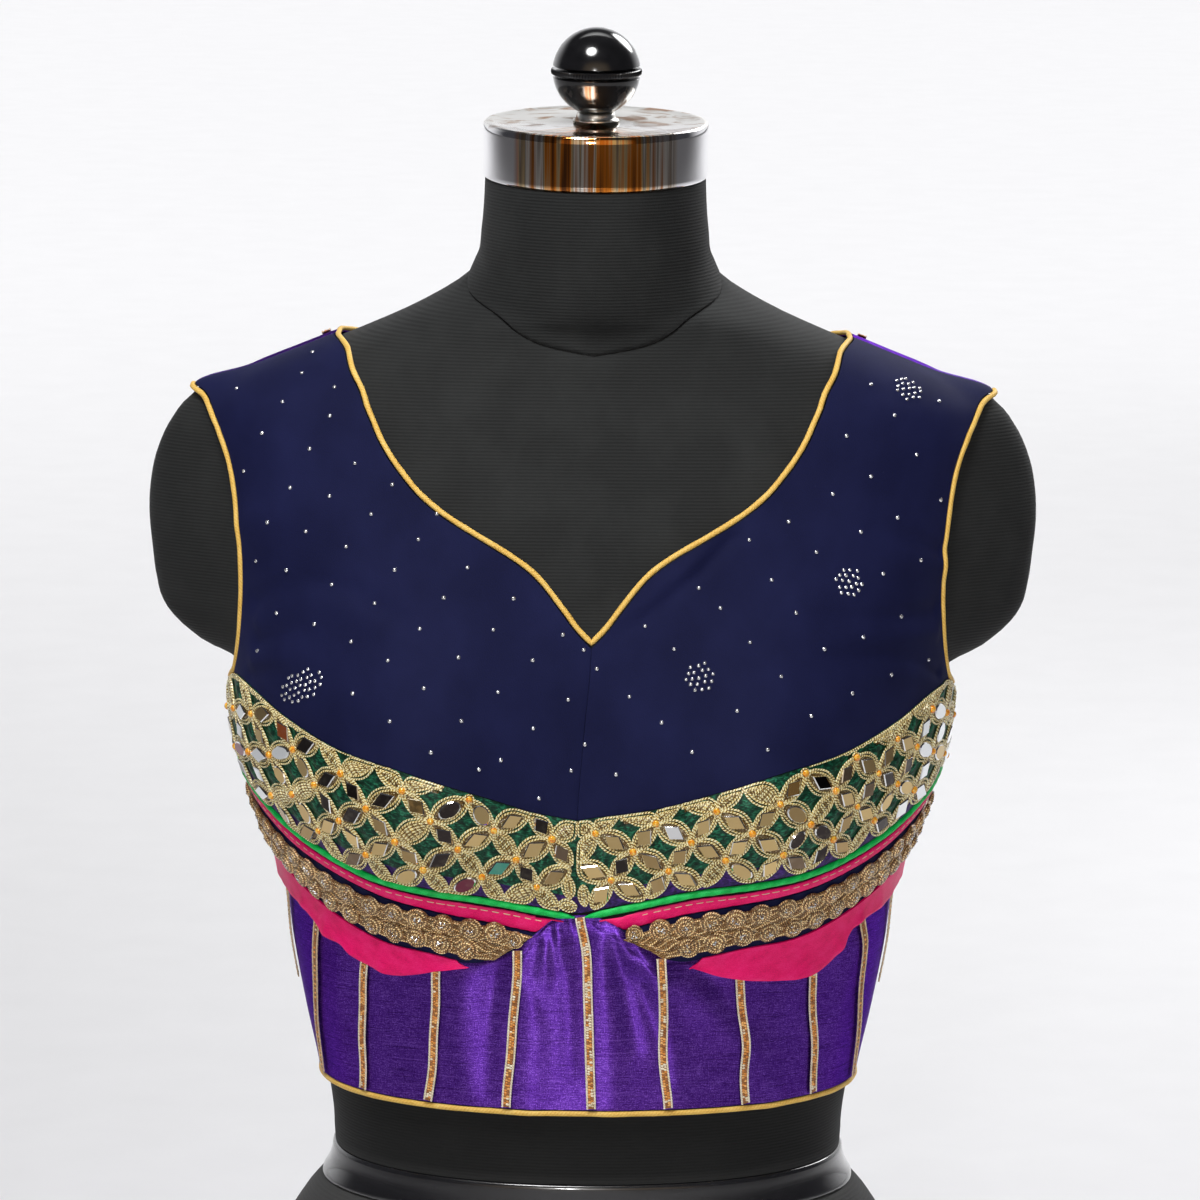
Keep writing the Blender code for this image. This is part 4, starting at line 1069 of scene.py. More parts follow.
SEAMS = (
    (0, 391.5, 344.5, 339.0, 334.2, 318.0, 316.0),
    (10, 397, 350, 344.3, 339.5, 320.0, 318.0),
    (20, 407, 356, 350.2, 345.4, 322.0, 320.5),
    (30, 416.5, 360, 354.2, 349.4, 327.0, 313.5),
    (40, 423, 364, 358.2, 353.4, 330.0, 311.0),
    (50, 433, 371, 364.8, 360.0, 337.0, 316.0),
    (60, 443, 380, 373.3, 368.5, 346.0, 328.0),
    (70, 447, 391, 384, 378.5, 355.0, 338.0),
    (80, 441, 399, 392, 386.5, 362.0, 345.0),
    (90, 437, 404, 397, 391.5, 367.0, 349.0),
)
# The two sides are not sewn quite alike: the trims under the mirror work are lifted, by signed turn.
LIFT = (
    (-90, 0), (-60, 0), (-48, -0.4), (-38, -1.4), (-16, -1.7), (-6, -0.8), (0, 0), (7, 0.7), (14, 1.9),
    (45, 2.1), (60, 1.4), (78, 0), (90, 0),
)
print(len(SEAMS), "marks along", len(SEAM_COLUMNS) - 1, "seams")

# %% The grid between four edges
def seam(name, turn):
    lift = smooth(LIFT, turn) if name in ("green", "magenta", "lace_top", "lace_low") else 0.0
    return smooth(SEAMS, np.abs(turn), SEAM_COLUMNS.index(name)) + lift


def eased(count, low=0.0, high=1.0, ends=0.5):
    """Steps that are finer towards both ends, where the edges roll."""
    t = np.linspace(0, 1, count)
    return low + (high - low) * ((1 - ends) * t + ends * (0.5 - 0.5 * np.cos(np.pi * t)))


def resample(rows, shares, fine=40):
    """Places at shares of the length of a smooth edge, as (turn, height) rows."""
    table = np.asarray(rows, float)
    key = np.arange(len(table), dtype=float)
    at = np.linspace(0, len(table) - 1, fine * len(table))
    turn = smooth(np.column_stack([key, table[:, 0]]), at)
    height = smooth(np.column_stack([key, table[:, 1]]), at)
    path = body_line(height, turn)
    length = lengths_of(path)
    places = np.asarray(shares) * length[-1]
    return np.column_stack([np.interp(places, length, turn), np.interp(places, length, height)])


def patch(bottom, top, inner, outer):
    """A grid of heights and turns between four edges of places, each given as (turn, height) rows."""
    u = eased(len(bottom))[None, :, None]
    v = np.linspace(0, 1, len(inner))[:, None, None]
    ruled = (1 - v) * bottom[None] + v * top[None] + (1 - u) * inner[:, None] + u * outer[:, None]
    corner = (
        (1 - u) * (1 - v) * bottom[0] + u * (1 - v) * bottom[-1] + (1 - u) * v * top[0] + u * v * top[-1]
    )
    grid = ruled - corner
    return grid[..., 1], grid[..., 0]


def joined_edges(lower, upper):
    return np.concatenate([lower, upper[1:]])


def on_side(side, height, turn, *grids):
    """Grids made for the left side, as one side's. Their columns always run to the wearer's left."""
    grids = (height, side * turn, *grids)
    return grids if side > 0 else tuple(grid[:, ::-1] for grid in grids)


print("the band is", round(float(seam("band_top", 0.0) - seam("green", 0.0)), 1), "mm high at the centre")

# %% One cut piece
def seam_dip(height, turn):
    """Cloth turns in a little where it meets a centre, side or shoulder seam."""
    away = np.min([np.abs(np.abs(turn) - at) for at in (0.0, 90.0, 180.0)], axis=0)
    return -0.35 * np.exp(-((away * np.interp(height, *DEGREE) / 1.1) ** 2))


def panel(height, turn, low=CLOTH_IN, high=CLOTH_OUT, flat=None, puff=0.0, quads=None):
    """One cut piece of cloth over a grid of places."""
    placed = leaned(height, turn)
    outer = cloth_line(height, placed, high + seam_dip(height, turn) + puff)
    inner = cloth_line(height, placed, low)
    quads = grid_faces(*height.shape) if quads is None else quads
    return shell(Work(), outer, inner, quads, flat_place(height, placed) if flat is None else flat)


def cut_piece(work, name, finish, solid, crease=40.0):
    """A sheet as its own object."""
    thing = work.piece(name, finish, [solid], crease=crease)
    return thing


print("a piece is cut by panel, and made an object by cut_piece")

# %% [markdown]
# ## Navy fronts
# Each front is one cut piece, from the centre seam to the shoulder and the armhole, and it ends where the
# mirror work starts. It is pulled over the bust, so its folds run from the armhole and along the slanting
# neck edge.

# %% Fronts
FRONT_ROWS = (24, 66)    # up the centre seam, and along the neck edge
fronts = {}
for side, word in SIDES:
    turns = eased(66, CENTRE_EDGE, ARMPIT)
    bottom = np.column_stack([turns, seam("band_top", turns) + SEAM_GAP])
    v_height = NECK_FRONT[0][1]
    rows = FRONT_ROWS[0] + 1
    centre = np.column_stack([np.full(rows, CENTRE_EDGE), np.linspace(bottom[0, 1], v_height, rows)])
    neck = resample(((CENTRE_EDGE, v_height), *NECK_FRONT[1:]), np.linspace(0, 1, FRONT_ROWS[1] + 1))
    inner = joined_edges(centre, neck)
    outer = resample(ARMHOLE_FRONT, np.linspace(0, 1, sum(FRONT_ROWS) + 1))
    outer[0] = bottom[-1]
    inner[-1, 0] = outer[-1, 0] = SIDE_EDGE
    top = inner[-1] + eased(len(turns))[:, None] * (outer[-1] - inner[-1])
    work = panel(*on_side(side, *patch(bottom, top, inner, outer)))
    fronts[word] = cut_piece(work, f"front_crepe_{word}", crepe, f"navy_front_{word}")

# %% [markdown]
# ## Stones on the crepe
# Small silver stones are set on a slanting grid, with a few leaf-shaped clusters. They are one domed
# template, stamped on the cloth: a texture could not stand up from it or glint.

# %% Stones
STONES = {   # turn, height
    "left": (
        (0.9, 461.5), (4.2, 413.5), (6.1, 449.2), (8.4, 481.1), (11.2, 438), (12.9, 471), (16.0, 425.5),
        (16.4, 498.5), (19.7, 489.6), (22.5, 444.4), (24.2, 474.4), (23.5, 520), (27.2, 427.5), (27.1, 502),
        (28.9, 459.3), (29.2, 528), (31.0, 487), (33.7, 441.3), (33.7, 514), (35.6, 470.4), (35.8, 540),
        (37.6, 566), (40.7, 449.6), (40.9, 522.4), (42.1, 547.4), (42.3, 474.4), (45.7, 502.8), (47.6, 574),
        (47.9, 528), (48.5, 456), (50.8, 482.1), (50.8, 556.4), (49.6, 587), (54.2, 507.5), (59.1, 534.4),
        (59.8, 459.7), (62.1, 578),
    ),
    "right": (
        (0.9, 427), (1.2, 470), (3.1, 415), (3.6, 447.5), (4.5, 476.8), (8.4, 402.6), (9.1, 434.6),
        (9.2, 465.3), (12.1, 493), (14.2, 420.8), (14.5, 451.3), (15.2, 479), (17.6, 417), (18.9, 506.8),
        (20.0, 438.8), (20.4, 466.7), (22.5, 493), (24.6, 425), (25.5, 453), (26.0, 518.8), (26.1, 479),
        (23.2, 530.6), (29.7, 504.8), (29.6, 543), (30.6, 438), (30.9, 464.5), (33.0, 489.6), (33.0, 529.4),
        (35.1, 552), (36.6, 448.8), (36.8, 471.7), (37.2, 514.3), (39.7, 536.7), (40.0, 572.6),
        (40.1, 496.8), (43.4, 478), (42.6, 557.6), (44.3, 520), (43.6, 584.5), (47.1, 539.4), (49.0, 501.4),
        (51.1, 577), (51.5, 481), (52.7, 522.6), (52.8, 563), (56.1, 589), (57.1, 503.8), (58.3, 461.5),
        (58.9, 545), (69.6, 579.7), (69.1, 597),
    ),
}
print(len(STONES["left"]), "and", len(STONES["right"]), "single stones")

# %% Leaf-shaped clusters
CLUSTERS = {   # centre as turn and height, half length and half width in mm, slant in degrees
    "left": (
        ((16.9, 458.9), 9.6, 6.6, 14.0), ((39.4, 500.0), 9.0, 6.8, -12.0), ((57.6, 584.0), 9.6, 6.6, 4.0),
    ),
    "right": (((46.7, 449.0), 15.0, 8.6, -24.0),),
}
CLUSTER_PITCH = 3.3
stone = turned_solid(((0.55, 0.0), (0.98, 0.12), (0.9, 0.5), (0.55, 0.86), (0.18, 1.0)), 10)


def leaf_cluster(centre, half_length, half_width, slant):
    """Places of a leaf-shaped cluster, in staggered rows."""
    rows = np.arange(-4, 5) * CLUSTER_PITCH * 0.87
    columns = np.arange(-6, 7) * CLUSTER_PITCH
    spots = np.array([(x + (r % 2) * CLUSTER_PITCH / 2, y) for r, y in enumerate(rows) for x in columns])
    spots = spots[np.sum((np.abs(spots) / (half_length, half_width)) ** 1.6, axis=1) < 1]
    spots = spots + rng.normal(0.0, 0.32, spots.shape)
    c, s = math.cos(math.radians(slant)), math.sin(math.radians(slant))
    on_cloth = spots @ np.array([[c, s], [-s, c]])
    turn, height = centre
    # a step of one degree and one of one millimetre of height, as seen on the cloth there
    steps_there = np.array([body_line(height + dh, turn + dt) - body_line(height - dh, turn - dt)
                            for dt, dh in ((0.5, 0.0), (0.0, 0.5))]).T
    side_way = unit(steps_there[:, 0])
    up_way = unit(steps_there[:, 1] - side_way * (steps_there[:, 1] @ side_way))
    return np.array(centre) + on_cloth @ np.stack([side_way, up_way]) @ np.linalg.pinv(steps_there).T


print("a stone has", stone.count, "points")

# %% Stones on the fronts
for side, word in SIDES:
    places = np.concatenate([STONES[word], *[leaf_cluster(*cluster) for cluster in CLUSTERS[word]]])
    size = np.where(np.arange(len(places)) < len(STONES[word]), 1.0, 0.92)
    size = (size * rng.uniform(0.92, 1.08, len(places)))[:, None] * (1, 1, 0.9)
    origin, frame_at = frames_on(places[:, 1], side * places[:, 0], CLOTH_OUT - 0.05)
    work = stamp(Work(), stone, origin, frame_at, size)
    work.piece(f"stones_{word}", stone_finish, on=fronts[word], crease=25)

# %% [markdown]
# ## Mirror work: the silk behind it
# Mirror work is embroidery: gilt petals are couched on a silk strip, and small mirrors are held inside
# them. First comes the strip, slightly puffed where the petals leave it free. Places on it are (s, v): how
# far out along the strip, and how far above the green cord.

# %% Places along the band
GREEN_CORD, BAND_FOOT = (3.5, 2.2), 2.3   # the cord across and out; the silk starts this far above its middle
BAND_TURNS = np.arange(0.0, 90.01, 0.5)
band_lengths = {}
for side, word in SIDES:
    middle_height = (seam("green", side * BAND_TURNS) + seam("band_top", BAND_TURNS)) / 2
    at = leaned(middle_height, side * BAND_TURNS)
    path = cloth_line(middle_height, at, CLOTH_OUT, False)
    centre = cloth_line(middle_height[0], 0.0, CLOTH_OUT, False)
    band_lengths[word] = lengths_of(path) + np.linalg.norm(path[0] - centre) * np.sign(side * at[0])
    print(word, "band from", np.round(band_lengths[word][[0, -1]], 1), "mm")


def along_band(word, turn):
    return np.interp(turn, BAND_TURNS, band_lengths[word])


def band_turn(word, s):
    """The signed turn this far out along one side's band."""
    return (1 if word == "left" else -1) * np.interp(s, band_lengths[word], BAND_TURNS)


def band_place(word, s, v):
    """Height and signed turn of places on the band."""
    turn = band_turn(word, s)
    height = seam("green", turn) + v
    return height, leaned(height, turn)


def band_top_at(word, s):
    turn = band_turn(word, s)
    return seam("band_top", turn) - seam("green", turn)


def on_band(word, place, out):
    """Points and outward directions for (s, v) places on one side's band."""
    height, turn = band_place(word, place[..., 0], place[..., 1])
    return cloth_line(height, turn, out), body_normal(height, turn)


print("places on the band: band_place, on_band")

# %% The petals' lattice
# The petals stand on a slanting lattice. Two steps lead from node to node: up and out, and down and out.
# The steps are not quite even, as nothing sewn by hand is: they stretch a little towards the side.
UP_STEP, DOWN_STEP = np.array([10.4, 12.2]), np.array([19.0, -12.0])
FIRST_NODE = {"left": np.array([0.7, 3.4]), "right": np.array([-9.6, 0.4])}
STRETCH = {"left": (0.97, 0.0002), "right": (0.86, 0.0011)}


def stretched(word, node):
    even, growth = STRETCH[word]
    s = FIRST_NODE[word][0] + (node[..., 0] - FIRST_NODE[word][0]) * (even + growth * node[..., 0])
    v = node[..., 1] + 0.5 * np.sin(node[..., 0] * 0.11) - 0.4 * np.sin(node[..., 0] * 0.047 + 1.0)
    return np.stack([s, v], -1)


def lattice(word):
    """Each node, and the nodes that lie one step up and one step down from it."""
    steps_out = [r * UP_STEP + i * (UP_STEP + DOWN_STEP) for r in range(-1, 6) for i in range(-3, 12)]
    at = FIRST_NODE[word] + np.array(steps_out)
    at, up, down = [stretched(word, node) for node in (at, at + UP_STEP, at + DOWN_STEP)]
    near = (at[:, 0] > -32) & (at[:, 0] < band_lengths[word][-1] + 30)
    return at[near], up[near], down[near]


print("nodes on the left", len(lattice("left")[0]))

# %% The band's silk
BAND_GRID, PUFF = (34, 170), (1.0, 3.2)    # rows and columns; mm that the silk puffs, and how wide
bands = {}
for side, word in SIDES:
    turn = np.broadcast_to(eased(BAND_GRID[1], CENTRE_EDGE, SIDE_EDGE, 0.3), BAND_GRID)
    low = seam("green", side * turn) + BAND_FOOT
    height = low + (seam("band_top", turn) - low) * np.linspace(0, 1, BAND_GRID[0])[:, None]
    place = np.stack([along_band(word, turn), height - seam("green", side * turn)], -1)
    puff = np.zeros(turn.shape)
    nodes, ups, downs = lattice(word)
    for cell in (ups + downs) / 2:
        puff += PUFF[0] * np.exp(-(np.linalg.norm(place - cell, axis=-1) / PUFF[1]) ** 2)
    edge = np.minimum(height - low, seam("band_top", turn) - height)
    puff *= np.clip(edge / 3.0, 0, 1)
    height, turn, place, puff = on_side(side, height, turn, place, puff)
    work = panel(height, turn, flat=place, puff=puff)
    bands[word] = cut_piece(work, f"band_silk_{word}", band_silk, f"mirror_band_{word}")

# %% [markdown]
# ## Mirror work: petals
# A petal joins each pair of neighbouring nodes. It is outlined with two strands of gilt cord, laid side by
# side, and most hold a mirror on a low pad. The rest are filled with a pad of gilt coils laid across. A
# petal that the edge of the band would cut is squeezed flat against the edge instead, as an embroiderer
# does, and is filled.

# %% Which petals there are
BAND_MARGIN = (2.6, 0.5, 0.5)  # mm kept free along the cord, along the crepe, and at the seams
LEAST_SHARE = 0.4              # a petal with less of its length on the band is left out
MIRROR_SHARE = 0.84            # and one with less than this holds no mirror
COILED_SHARE = 0.2             # how many of the others hold none either
PETAL_HALF = (4.9, 5.3)        # half width of a petal up and out, and of one down and out
FOOT_PETALS = {                # small ones at the foot of the centre seam: two ends, half width
    "left": (((2.8, 16.0), (3.6, 5.2), 2.7),),
    "right": (((4.2, 20.6), (4.0, 9.0), 3.3), ((0.6, 5.8), (9.8, 5.4), 3.1)),
}
STRAND, STRAND_STEP, STRAND_LIFT = 1.16, 1.5, (0.84, 0.92)
# the second strand is a darker copy of the first, as painted shade
LIT_AND_SHADED_STRANDS = ((1.0, 1.0, 1.0), (0.92, 0.86, 0.72))
MIRROR_PAD = ((1.7, -0.05), (1.8, 0.6), (2.1, 1.06), (3.2, 1.1))    # inset and rise of a pad's rings
COILED_PAD = ((1.8, -0.05), (2.0, 0.3), (2.9, 0.75), (3.8, 0.9))
COIL_STEP = 0.98
CLOSING_THREADS = ((-0.2, 34.0), (0.6, 40.0), (1.4, 47.0))    # inset from the crepe, and first turn
# the pads are painted near black, as painted shade in the gaps between strands, and every third coil gets
# SHADE_TONE, as painted shade
PAD_PAINTED_SHADE, SHADE_TONE = (0.14, 0.1, 0.05), (0.4, 0.3, 0.16)


def kept_on_band(word, place, inset):
    """Places moved the short way onto the band, an inset from its edges."""
    lengths = band_lengths[word]
    s = np.clip(place[..., 0], lengths[0] + BAND_MARGIN[2] + inset, lengths[-1] - BAND_MARGIN[2] - inset)
    v = np.clip(place[..., 1], BAND_MARGIN[0] + inset, band_top_at(word, s) - BAND_MARGIN[1] - inset)
    return np.stack([s, v], -1)


def petals_of(word):
    """Start, end, half width and the share on the band of each petal."""
    shares = np.linspace(0, 1, 41)[:, None]
    found = []
    for node, up, down in zip(*lattice(word)):
        for far, half_width in zip((up, down), PETAL_HALF):
            line = node + (far - node) * shares
            share = np.mean(np.linalg.norm(kept_on_band(word, line, 0.0) - line, axis=1) < 0.01)
            if share > LEAST_SHARE:
                found.append((node, far, half_width * rng.uniform(0.95, 1.04), share))
    seam_foot = np.array([band_lengths[word][0], 0.0])
    found += [(seam_foot + a, seam_foot + b, half_width, 0.5) for a, b, half_width in FOOT_PETALS[word]]
    return [np.array(column) for column in zip(*found)]


print("a petal is kept with", LEAST_SHARE, "of its length on the band")

# %% A petal's outline
def petal_outline(word, start, end, half_width, inset, count=24):
    """Closed leaves between their ends, in (s, v), an inset within their edge and kept on the band."""
    angle = np.linspace(0, 2 * np.pi, count, endpoint=False)
    along = 0.5 - 0.5 * np.cos(angle)
    across = 0.35 * np.sin(np.pi * along) * np.sign(np.sin(angle)) + 0.65 * np.sin(angle)
    middle, axis = (start + end) / 2, end - start
    length = np.linalg.norm(axis, axis=1)
    aside = np.stack([-axis[:, 1], axis[:, 0]], -1) / length[:, None]
    reach = 0.96 - 1.5 * inset / length
    outline = (
        middle[:, None]
        + axis[:, None] * (along[None, :, None] - 0.5) * reach[:, None, None]
        + aside[:, None] * (across[None] * (half_width[:, None] - inset))[..., None]
    )
    outline = kept_on_band(word, outline, inset)
    for _ in range(2):
        outline = (np.roll(outline, 1, 1) + 2 * outline + np.roll(outline, -1, 1)) / 4
    return kept_on_band(word, outline, inset)


print("strands of", STRAND, "mm, one every", STRAND_STEP, "mm")

# %% Gilt petals
petals = {}
for side, word in SIDES:
    start, end, half_width, share = petals_of(word)
    mirrored_petal = (share > MIRROR_SHARE) & (rng.random(len(share)) > COILED_SHARE)
    petals[word] = (start, end, half_width, share, mirrored_petal)
    gilt = Work()
    for k, out in enumerate(STRAND_LIFT):
        outline = petal_outline(word, start, end, half_width, k * STRAND_STEP)
        outline = outline + rng.normal(0.0, 0.07, outline.shape)
        path, over = on_band(word, outline, CLOTH_OUT + out)
        tubes(gilt, path, over, STRAND * rng.uniform(0.9, 1.08), STRAND, 5, closed=True,
              tone=LIT_AND_SHADED_STRANDS[k])
    # pads: under a mirror they lift it clear of the strands, under coils they are domed
    for k in range(len(start)):
        rows = []
        ends = (start[k:k + 1], end[k:k + 1], half_width[k:k + 1])
        for inset, out in MIRROR_PAD if mirrored_petal[k] else COILED_PAD:
            outline = petal_outline(word, *ends, inset, 14)[0]
            rows.append(on_band(word, outline, CLOTH_OUT + out)[0])
        wrapped(gilt, np.array(rows) if side > 0 else np.array(rows)[:, ::-1])
        # the pad is painted near black, as painted shade between the strands
        gilt.tones[-3:] = [np.broadcast_to(np.array(PAD_PAINTED_SHADE), tone.shape) for tone in gilt.tones[-3:]]
        if mirrored_petal[k]:
            continue
        # coils run across the pad between facing points of the inner strand
        outline = petal_outline(word, *ends, 1.9, 60)[0]
        upper, lower = outline[2:29], outline[58:31:-1]
        spot = lengths_of((upper + lower) / 2)
        coils = max(3, int(spot[-1] / COIL_STEP))
        at = (np.arange(coils) + 0.5) / coils * spot[-1]
        near = np.column_stack([np.interp(at, spot, upper[:, i]) for i in (0, 1)])
        far = np.column_stack([np.interp(at - 0.5, spot, lower[:, i]) for i in (0, 1)])
        arch = np.linspace(0, 1, 7)
        place = near[:, None] * (1 - arch)[None, :, None] + far[:, None] * arch[None, :, None]
        rise = 0.45 + 1.0 * np.sin(np.pi * arch)[None] ** 0.7 + rng.uniform(-0.1, 0.12, (coils, 1))
        path, over = on_band(word, place, CLOTH_OUT + rise)
        # every third coil is painted darker, as painted shade
        tones = np.where(np.arange(coils)[:, None] % 3 == 1, np.array([SHADE_TONE]), 1.0)
        tones = tones * rng.uniform(0.85, 1.1, (coils, 1))
        tubes(gilt, path, over, 0.86, 0.7, 5, tone=tones)
    # threads that close the work along the crepe, towards the side
    for inset, start_turn in CLOSING_THREADS:
        turns = np.linspace(start_turn, 89.2, 240)
        s = along_band(word, turns)
        wave = 0.28 * np.sin(s * 1.3) * (inset > 0)
        place = np.column_stack([s, band_top_at(word, s) - BAND_MARGIN[1] - inset + wave])
        tubes(gilt, *on_band(word, place, CLOTH_OUT + 0.62 + 0.3 * (inset > 0)), 0.7, 0.62, 5)
    gilt.piece(f"gilt_petals_{word}", pale_gilt, on=bands[word], crease=60)

# %% [markdown]
# ## Mirror work: mirrors and beads
# Each mirror is cut by hand to fit its petal: most are lozenges with ground edges, and some are ovals. None
# lies quite level, so each glints on its own. An amber bead in a gilt ring covers every node that has room
# for one.

# %% One mirror, one bead and one ring
PAINTED_REFLECTIONS = (               # how often each painted reflection comes, and its colour
    (0.40, (0.7, 0.5, 0.22)),
    (0.24, (0.44, 0.3, 0.13)),
    (0.19, (0.04, 0.03, 0.028)),
    (0.09, (0.2, 0.14, 0.09)),
    (0.04, (0.95, 0.98, 1.0)),
    (0.01, (0.8, 0.2, 0.06)),
    (0.02, (0.22, 0.05, 0.08)),
    (0.01, (0.08, 0.32, 0.24)),
)
GROUND_EDGE = (0.97, 0.97, 0.95)
MIRROR_THICK, MIRROR_LIFT, BEAD_LIFT = 0.8, 1.18, 0.55
BEAD_ROOM = (2.6, 2.4, 3.2)    # mm that a bead needs above the cord, below the crepe and from the seams


def cut_glass(corner):
    """A mirror of half size 1 with a ground edge that rises to a smaller face."""
    count, ring = len(corner), np.arange(len(corner))
    points = [np.column_stack([corner * size, np.full(count, z)]) for size, z in
              ((0.94, 0.0), (1.0, 0.4), (0.88, 1.0), (0.88, 1.0))]
    after = np.roll(ring, -1)
    side = np.stack([ring, after, after + count, ring + count], -1)
    faces = [np.concatenate([side, side + count]), (ring + 3 * count)[None], ring[::-1][None]]
    return Work().add(np.concatenate(points), faces, tone=GROUND_EDGE)


lozenge = cut_glass(np.array([(1, 0), (0.06, 1), (-1, 0.05), (-0.06, -1)], float))
oval_angle = np.linspace(0, 2 * np.pi, 15)[:-1]
oval = cut_glass(np.column_stack([np.cos(oval_angle), np.sin(oval_angle)]))
bead = turned_solid([(1.9 * math.sin(a), 1.15 - 1.4 * math.cos(a)) for a in np.linspace(0.9, 3.0, 8)], 12)
wire_ring = Work()
circle = np.linspace(0, 2 * np.pi, 19)[:-1]
ring_path = np.column_stack([2.3 * np.cos(circle), 2.3 * np.sin(circle), np.full(18, 0.45)])
tubes(wire_ring, ring_path, np.broadcast_to((0.0, 0.0, 1.0), (18, 3)), 0.8, 0.9, 5, closed=True)
print("points:", lozenge.count, "of a mirror,", bead.count, "of a bead,", wire_ring.count, "of a ring")

# %% Mirrors and beads
for side, word in SIDES:
    start, end, half_width, share, mirrored_petal = [column[petals[word][4]] for column in petals[word]]
    count = len(start)
    inner = petal_outline(word, start, end, half_width, 1.6)
    middle, length = inner.mean(axis=1), np.linalg.norm(end - start, axis=1)
    place_height, place_turn = band_place(word, middle[:, 0], middle[:, 1])
    origin, frame_at = frames_on(place_height, place_turn, CLOTH_OUT + MIRROR_LIFT)
    ahead, _ = on_band(word, middle + (end - start) * 0.05, CLOTH_OUT + MIRROR_LIFT)
    toward = ahead - origin
    heading = np.arctan2(np.sum(toward * frame_at[..., 1], -1), np.sum(toward * frame_at[..., 0], -1))
    frame_at = rotated(frame_at, heading + rng.normal(0, 0.08, count))
    tilt = rng.normal(0, 0.055, (count, 2))
    outward = unit(frame_at[..., 2] + frame_at[..., 0] * tilt[:, :1] + frame_at[..., 1] * tilt[:, 1:])
    side_way = unit(frame_at[..., 0] - outward * np.sum(frame_at[..., 0] * outward, -1, keepdims=True))
    frame_at = np.stack([side_way, np.cross(outward, side_way), outward], -1)
    reflection_pick = rng.choice(len(PAINTED_REFLECTIONS), count, p=[often for often, _ in PAINTED_REFLECTIONS])
    # towards the sides most mirrors are painted white, as a painted reflection of the pale surroundings
    reflection_pick = np.where((np.abs(place_turn) > 58) & (rng.random(count) < 0.6), 4, reflection_pick)
    is_oval = rng.random(count) < 0.2
    long_half = np.where(length > 18, 0.285, 0.345) * length * np.clip(share + 0.12, 0, 1)
    wide_half = (half_width - 0.7) * np.where(length > 18, 0.9, 1.0)
    glass = Work()
    for k in range(count):
        size = np.array([long_half[k], wide_half[k], MIRROR_THICK]) * (*rng.uniform(0.94, 1.04, 2), 1.0)
        template, shrink = (oval, (0.92, 0.9, 1.0)) if is_oval[k] else (lozenge, 1.0)
        stamp(glass, template, origin[k:k + 1], frame_at[k:k + 1], size * shrink)
        glass.tones[-2] = np.array([PAINTED_REFLECTIONS[reflection_pick[k]][1]]) * rng.uniform(0.85, 1.1)
    glass.piece(f"cut_mirrors_{word}", mirror_glass, on=bands[word], crease=15)

    nodes, lengths = lattice(word)[0], band_lengths[word]
    s, v = nodes.T
    has_room = (v > BAND_MARGIN[0] + BEAD_ROOM[0]) & (v < band_top_at(word, s) - BEAD_ROOM[1])
    nodes = nodes[has_room & (s > lengths[0] + BEAD_ROOM[2]) & (s < lengths[-1] - BEAD_ROOM[2])]
    place_height, place_turn = band_place(word, nodes[:, 0], nodes[:, 1])
    origin, frame_at = frames_on(place_height, place_turn, CLOTH_OUT + BEAD_LIFT)
    frame_at = rotated(frame_at, rng.uniform(0, 3, len(nodes)))
    beads = stamp(Work(), bead, origin, frame_at, rng.uniform(0.84, 1.04, len(nodes))[:, None])
    beads.piece(f"amber_beads_{word}", amber, on=bands[word], crease=60)
    rings = stamp(Work(), wire_ring, origin, frame_at)
    rings.piece(f"bead_rings_{word}", pale_gilt, on=bands[word], crease=60)

# %% [markdown]
# ## Cords under the bust
# A green satin cord and a magenta band of silk are sewn along the foot of the mirror work. Each is an oval
# tube along its seam. The magenta is flatter, and is held down by a line of cream running stitches near its
# upper edge. They are thin tubes of their own, so that they lie on it and dip into it.

# %% Edges of the cords
MAGENTA_CORD = (5.6, 1.8)
MAGENTA_GROWTH = {"left": 0.22, "right": 0.44}    # how much wider it is near the centre
INNER_END = {"green": 1.0, "magenta": 3.4, "strip": 6.4}
STITCH, STITCH_STEP = 4.2, 5.2
STRIP_FOOT = 1.0
GATHERED_EDGE = {    # the silk's gathered edge as turn and height; beyond it the edge runs under the lace
    "left": ((0, 345.6), (2, 345.4), (3.9, 344.0), (6.7, 340.2), (9.0, 335.2), (11.5, 330.2), (13.8, 326.0),
             (17.0, 323.2), (21, 323.2), (24, 324.3)),
    "right": ((0, 345.6), (2, 345.4), (4.4, 344.2), (6.7, 341.8), (8.2, 339.2), (11.0, 334.2), (12.9, 330.2),
              (15.7, 325.8), (18.6, 322.4), (21, 320.9), (24, 320.6)),
}


def midriff_top(turn):
    """The upper edge: the gathered peak, then under the foot of the navy strip."""
    strip = seam("lace_low", turn) - STRIP_FOOT - SEAM_GAP
    away, last = np.abs(turn), GATHERED_EDGE["left"][-1][0]
    edge = [smooth(GATHERED_EDGE[word], np.minimum(away, last)) for _, word in SIDES]
    return np.where(away < last, np.where(turn > 0, *edge), strip)


def magenta_foot(side, turn):
    """The lower edge of the magenta. Near the centre it is cut off by the gathered silk."""
    growth = MAGENTA_GROWTH["left" if side > 0 else "right"] * np.clip((46.0 - turn) / 26.0, 0, 1)
    foot = seam("magenta", side * turn) - MAGENTA_CORD[0] * (0.5 + growth)
    return np.maximum(foot, midriff_top(side * turn) + 0.3)


